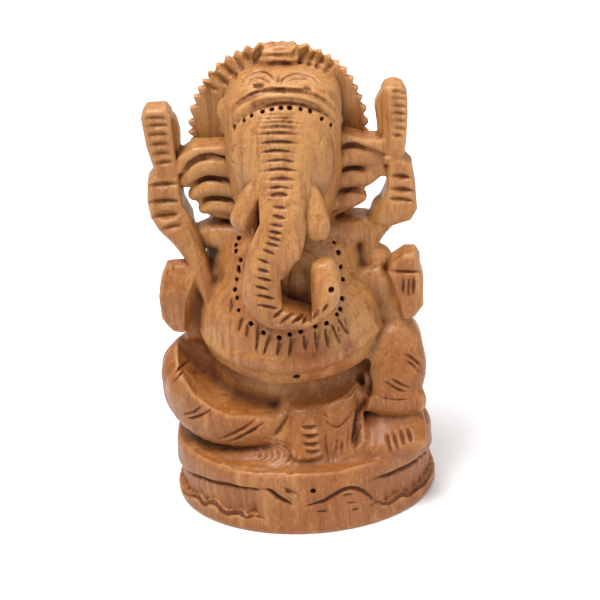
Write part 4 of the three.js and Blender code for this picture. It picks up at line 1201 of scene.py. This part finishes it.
# Each grain is a noise with its own stretch, detail and roughness.
polishedWood = {
    "pale": (0.44, 0.205, 0.062, 1),
    "tan": (0.29, 0.097, 0.021, 1),
    "streak": (0.17, 0.045, 0.009, 1),
    # Painted shade: the dark brown laid into crevices, creases and recesses, by how crowded the wood is round
    # each point.
    "creviceShade": (0.075, 0.018, 0.004, 1),
    # Painted shade: the dark brown laid into the knife's fine cuts, deeper cuts darker.
    "cut": (0.075, 0.019, 0.005, 1),
    # Painted highlight: the pale colour laid on convex edges. The same colour also gives some pale specks at
    # random.
    "edge": (0.52, 0.27, 0.11, 1),
    "honey": (0.47, 0.205, 0.062, 1),
    "russet": (0.30, 0.085, 0.020, 1),
    "grains": {
        "fibre": ((2600, 2600, 110), 4.0, 0.6),
        "streak": ((520, 520, 24), 3.0, 0.55),
        "patch": ((60, 60, 26), 2.0, 0.5),
        "blush": ((190, 190, 90), 2.0, 0.5),
        "speck": ((1300, 1300, 700), 2.0, 0.6),
        "warp": ((45, 45, 14), 2.0, 0.5),
    },
    "pith": (-0.031, 0.047, 0),
    "alongPith": (1, 1, 0.05),
    "ringGap": 2.3,
    "ringWander": 5.0,
    "ringDark": (0.25, 0.95),
    "ringEnds": (1.0, 0.93),
    "ringShare": 0.2,
    "paleAbove": 0.062,  # metres up: below this the colour is painted darker towards the plinth as shade, and above it paler as light
    "darker": 3.5,
    "tanFrom": (0.3, 0.7),
    "cutShadeFrom": (0.1, 0.6),
    # Crowding at which the painted shade begins and where it is full, and its share, close by and widely.
    "closeCreviceShade": (0.53, 0.75, 0.6),
    "wideCreviceShade": (0.5, 0.72, 0.5),
    "edgeHighlightFrom": (0.44, 0.30),
    # Grain, where it begins and is full, its share and its colour.
    "blotches": [("blush", 0.56, 0.72, 0.6, "russet"), ("blush", 0.44, 0.30, 0.6, "honey")],
    "flecks": [("streak", 0.5, 0.72, 0.55, "streak"), ("fibre", 0.54, 0.68, 0.6, "streak"),
               ("speck", 0.58, 0.70, 0.45, "streak"), ("speck", 0.42, 0.30, 0.35, "edge")],
    "edgeHighlightShare": 0.45,
    "cutShadeShare": 0.75,
    "relief": {"fibre": 0.6, "streak": 0.4, "ring": 0.1},
    "bump": {"Strength": 0.35, "Distance": 0.0002},
    "roughness": 0.43,
    "fibreRough": 0.12,
    "hollowRough": 0.2,
    "sheen": 0.2,
    "sheenFrom": (0.5, 0.1),
    "gloss": {"IOR": 1.45, "Specular IOR Level": 0.32, "Coat Roughness": 0.28},
}


def makeWood():
    w = polishedWood
    f = Finish("polishedWood")
    place = f.node("ShaderNodeTexCoord", {}, {}, 3)
    grain = {name: f.noise(f.stretch(place, scale), detail, roughness)
             for name, (scale, detail, roughness) in w["grains"].items()}
    fromPith = f.node("ShaderNodeVectorMath", {"operation": "SUBTRACT"}, {0: place, 1: w["pith"]})
    fromPith = f.stretch(fromPith, w["alongPith"])
    distance = f.node("ShaderNodeVectorMath", {"operation": "LENGTH"}, {0: fromPith}, 1)
    ring = distance * (1 / (wood["metre"] * w["ringGap"])) + grain["warp"] * w["ringWander"]
    ring = f.node("ShaderNodeMath", {"operation": "FRACT"}, {0: ring})
    ring = f.between(ring, *w["ringDark"]) * f.between(ring, *w["ringEnds"])
    close, wide, cut = (f.node("ShaderNodeAttribute", {"attribute_name": name}, {}, 2)
                        for name in ("closeCrowding", "wideCrowding", "cutShadeDepth"))
    # Painted shade in the fine cuts, by how far they go below the surface before marking.
    cut = f.between(cut, *w["cutShadeFrom"])
    # Painted shade in crevices and recesses, from the crowding.
    creviceShade = [f.between(crowded, low, high) * share
              for crowded, (low, high, share) in ((close, w["closeCreviceShade"]), (wide, w["wideCreviceShade"]))]
    creviceShade = creviceShade[0] + creviceShade[1]
    # Painted highlight on convex edges, where little wood is close by.
    edge = f.between(close, *w["edgeHighlightFrom"])
    up = f.node("ShaderNodeSeparateXYZ", {}, {0: place}, 2)
    # Painted shade and light: the wood is made darker towards the plinth and paler up high, added to the
    # random patches.
    patchAndLowShade = grain["patch"] + (w["paleAbove"] - up) * w["darker"]
    colour = f.tint(f.between(patchAndLowShade, *w["tanFrom"]), w["pale"], w["tan"])
    for name, low, high, share, shade in w["blotches"]:
        colour = f.tint(f.between(grain[name], low, high) * share, colour, w[shade])
    colour = f.tint(ring * w["ringShare"], colour, w["streak"])
    for name, low, high, share, shade in w["flecks"]:
        colour = f.tint(f.between(grain[name], low, high) * share, colour, w[shade])
    # Painted highlight laid on the edges.
    colour = f.tint(edge * w["edgeHighlightShare"], colour, w["edge"])
    # Painted shade laid into the crevices.
    colour = f.tint(creviceShade, colour, w["creviceShade"])
    # Painted shade laid into the fine cuts.
    colour = f.tint(cut * w["cutShadeShare"], colour, w["cut"])
    relief = w["relief"]
    height = grain["fibre"] * relief["fibre"] + grain["streak"] * relief["streak"] - ring * relief["ring"]
    bump = f.node("ShaderNodeBump", {}, {**w["bump"], "Height": height})
    rough = w["roughness"] + grain["fibre"] * w["fibreRough"] + creviceShade * w["hollowRough"]
    sheen = f.between(creviceShade + cut, *w["sheenFrom"]) * w["sheen"]
    shader = f.node("ShaderNodeBsdfPrincipled", {}, {"Base Color": colour, "Roughness": rough, "Normal": bump,
                                                     "Coat Weight": sheen, **w["gloss"]})
    f.node("ShaderNodeOutputMaterial", {}, {"Surface": shader})
    return f.material


figure.data.materials.clear()
figure.data.materials.append(makeWood())
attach(figure, "root")
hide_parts("carved_figure")
print("figure finished")

studio = {
    "floor": (0.86, 0.86, 0.86, 1),
    "floorRoughness": 0.9,
    "floorReach": 4,
    "air": (1.0, 1.0, 1.0, 1),
    "airStrength": 0.46,
    "lamps": [  # place, size and power
        ((-0.25, -0.30, 1.00), 0.45, 12.5),
        ((0.60, -0.45, 0.45), 0.60, 2.2),
        ((0.05, 0.50, 0.80), 0.50, 3.0),
    ],
    "aim": (0, 0, 0.06),
}


def makeStudio():
    f = Finish("paleFloor")
    shader = f.node("ShaderNodeBsdfPrincipled", {}, {"Base Color": studio["floor"],
                                                     "Roughness": studio["floorRoughness"]})
    f.node("ShaderNodeOutputMaterial", {}, {"Surface": shader})
    corners = np.array([(-1, -1, 0), (1, -1, 0), (1, 1, 0), (-1, 1, 0)], float) * studio["floorReach"]
    floor = bpy.data.objects.new("floor", meshFrom("floor", corners, np.array([[0, 1, 2, 3]])))
    floor.data.materials.append(f.material)
    bpy.context.collection.objects.link(floor)
    floor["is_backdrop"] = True
    world = bpy.data.worlds.new("paleAir")
    world.use_nodes = True
    air = world.node_tree.nodes["Background"]
    air.inputs["Color"].default_value = studio["air"]
    air.inputs["Strength"].default_value = studio["airStrength"]
    bpy.context.scene.world = world
    for i, (place, size, power) in enumerate(studio["lamps"]):
        light = bpy.data.lights.new(f"softLamp{i}", "AREA")
        light.energy, light.size = power, size
        lamp = bpy.data.objects.new(f"softLamp{i}", light)
        lamp.location = place
        lamp.rotation_euler = (Vector(studio["aim"]) - Vector(place)).to_track_quat("-Z", "Y").to_euler()
        bpy.context.collection.objects.link(lamp)
    bpy.context.scene.view_settings.view_transform = "Standard"


def makeCamera():
    across, above, back = viewAxes()
    at = Vector(view["at"]) + Vector((wood["centring"], 0, 0)) + back * view["away"]
    camera = bpy.data.objects.new("camera", bpy.data.cameras.new("camera"))
    camera.data.lens = view["lens"]
    camera.data.sensor_width = view["film"]
    turned = Matrix((across, above, back)).transposed().to_4x4()
    camera.matrix_world = Matrix.Translation(at * wood["metre"]) @ turned
    bpy.context.collection.objects.link(camera)
    bpy.context.scene.camera = camera


makeStudio()
makeCamera()
print("studio and camera set")

sizes = {"cad": [list(corner) for corner in cadBox], "visual": [list(corner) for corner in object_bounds()]}
for name, box in sizes.items():
    print("size in mm,", name, [[round(v / wood["metre"], 1) for v in corner] for corner in box])
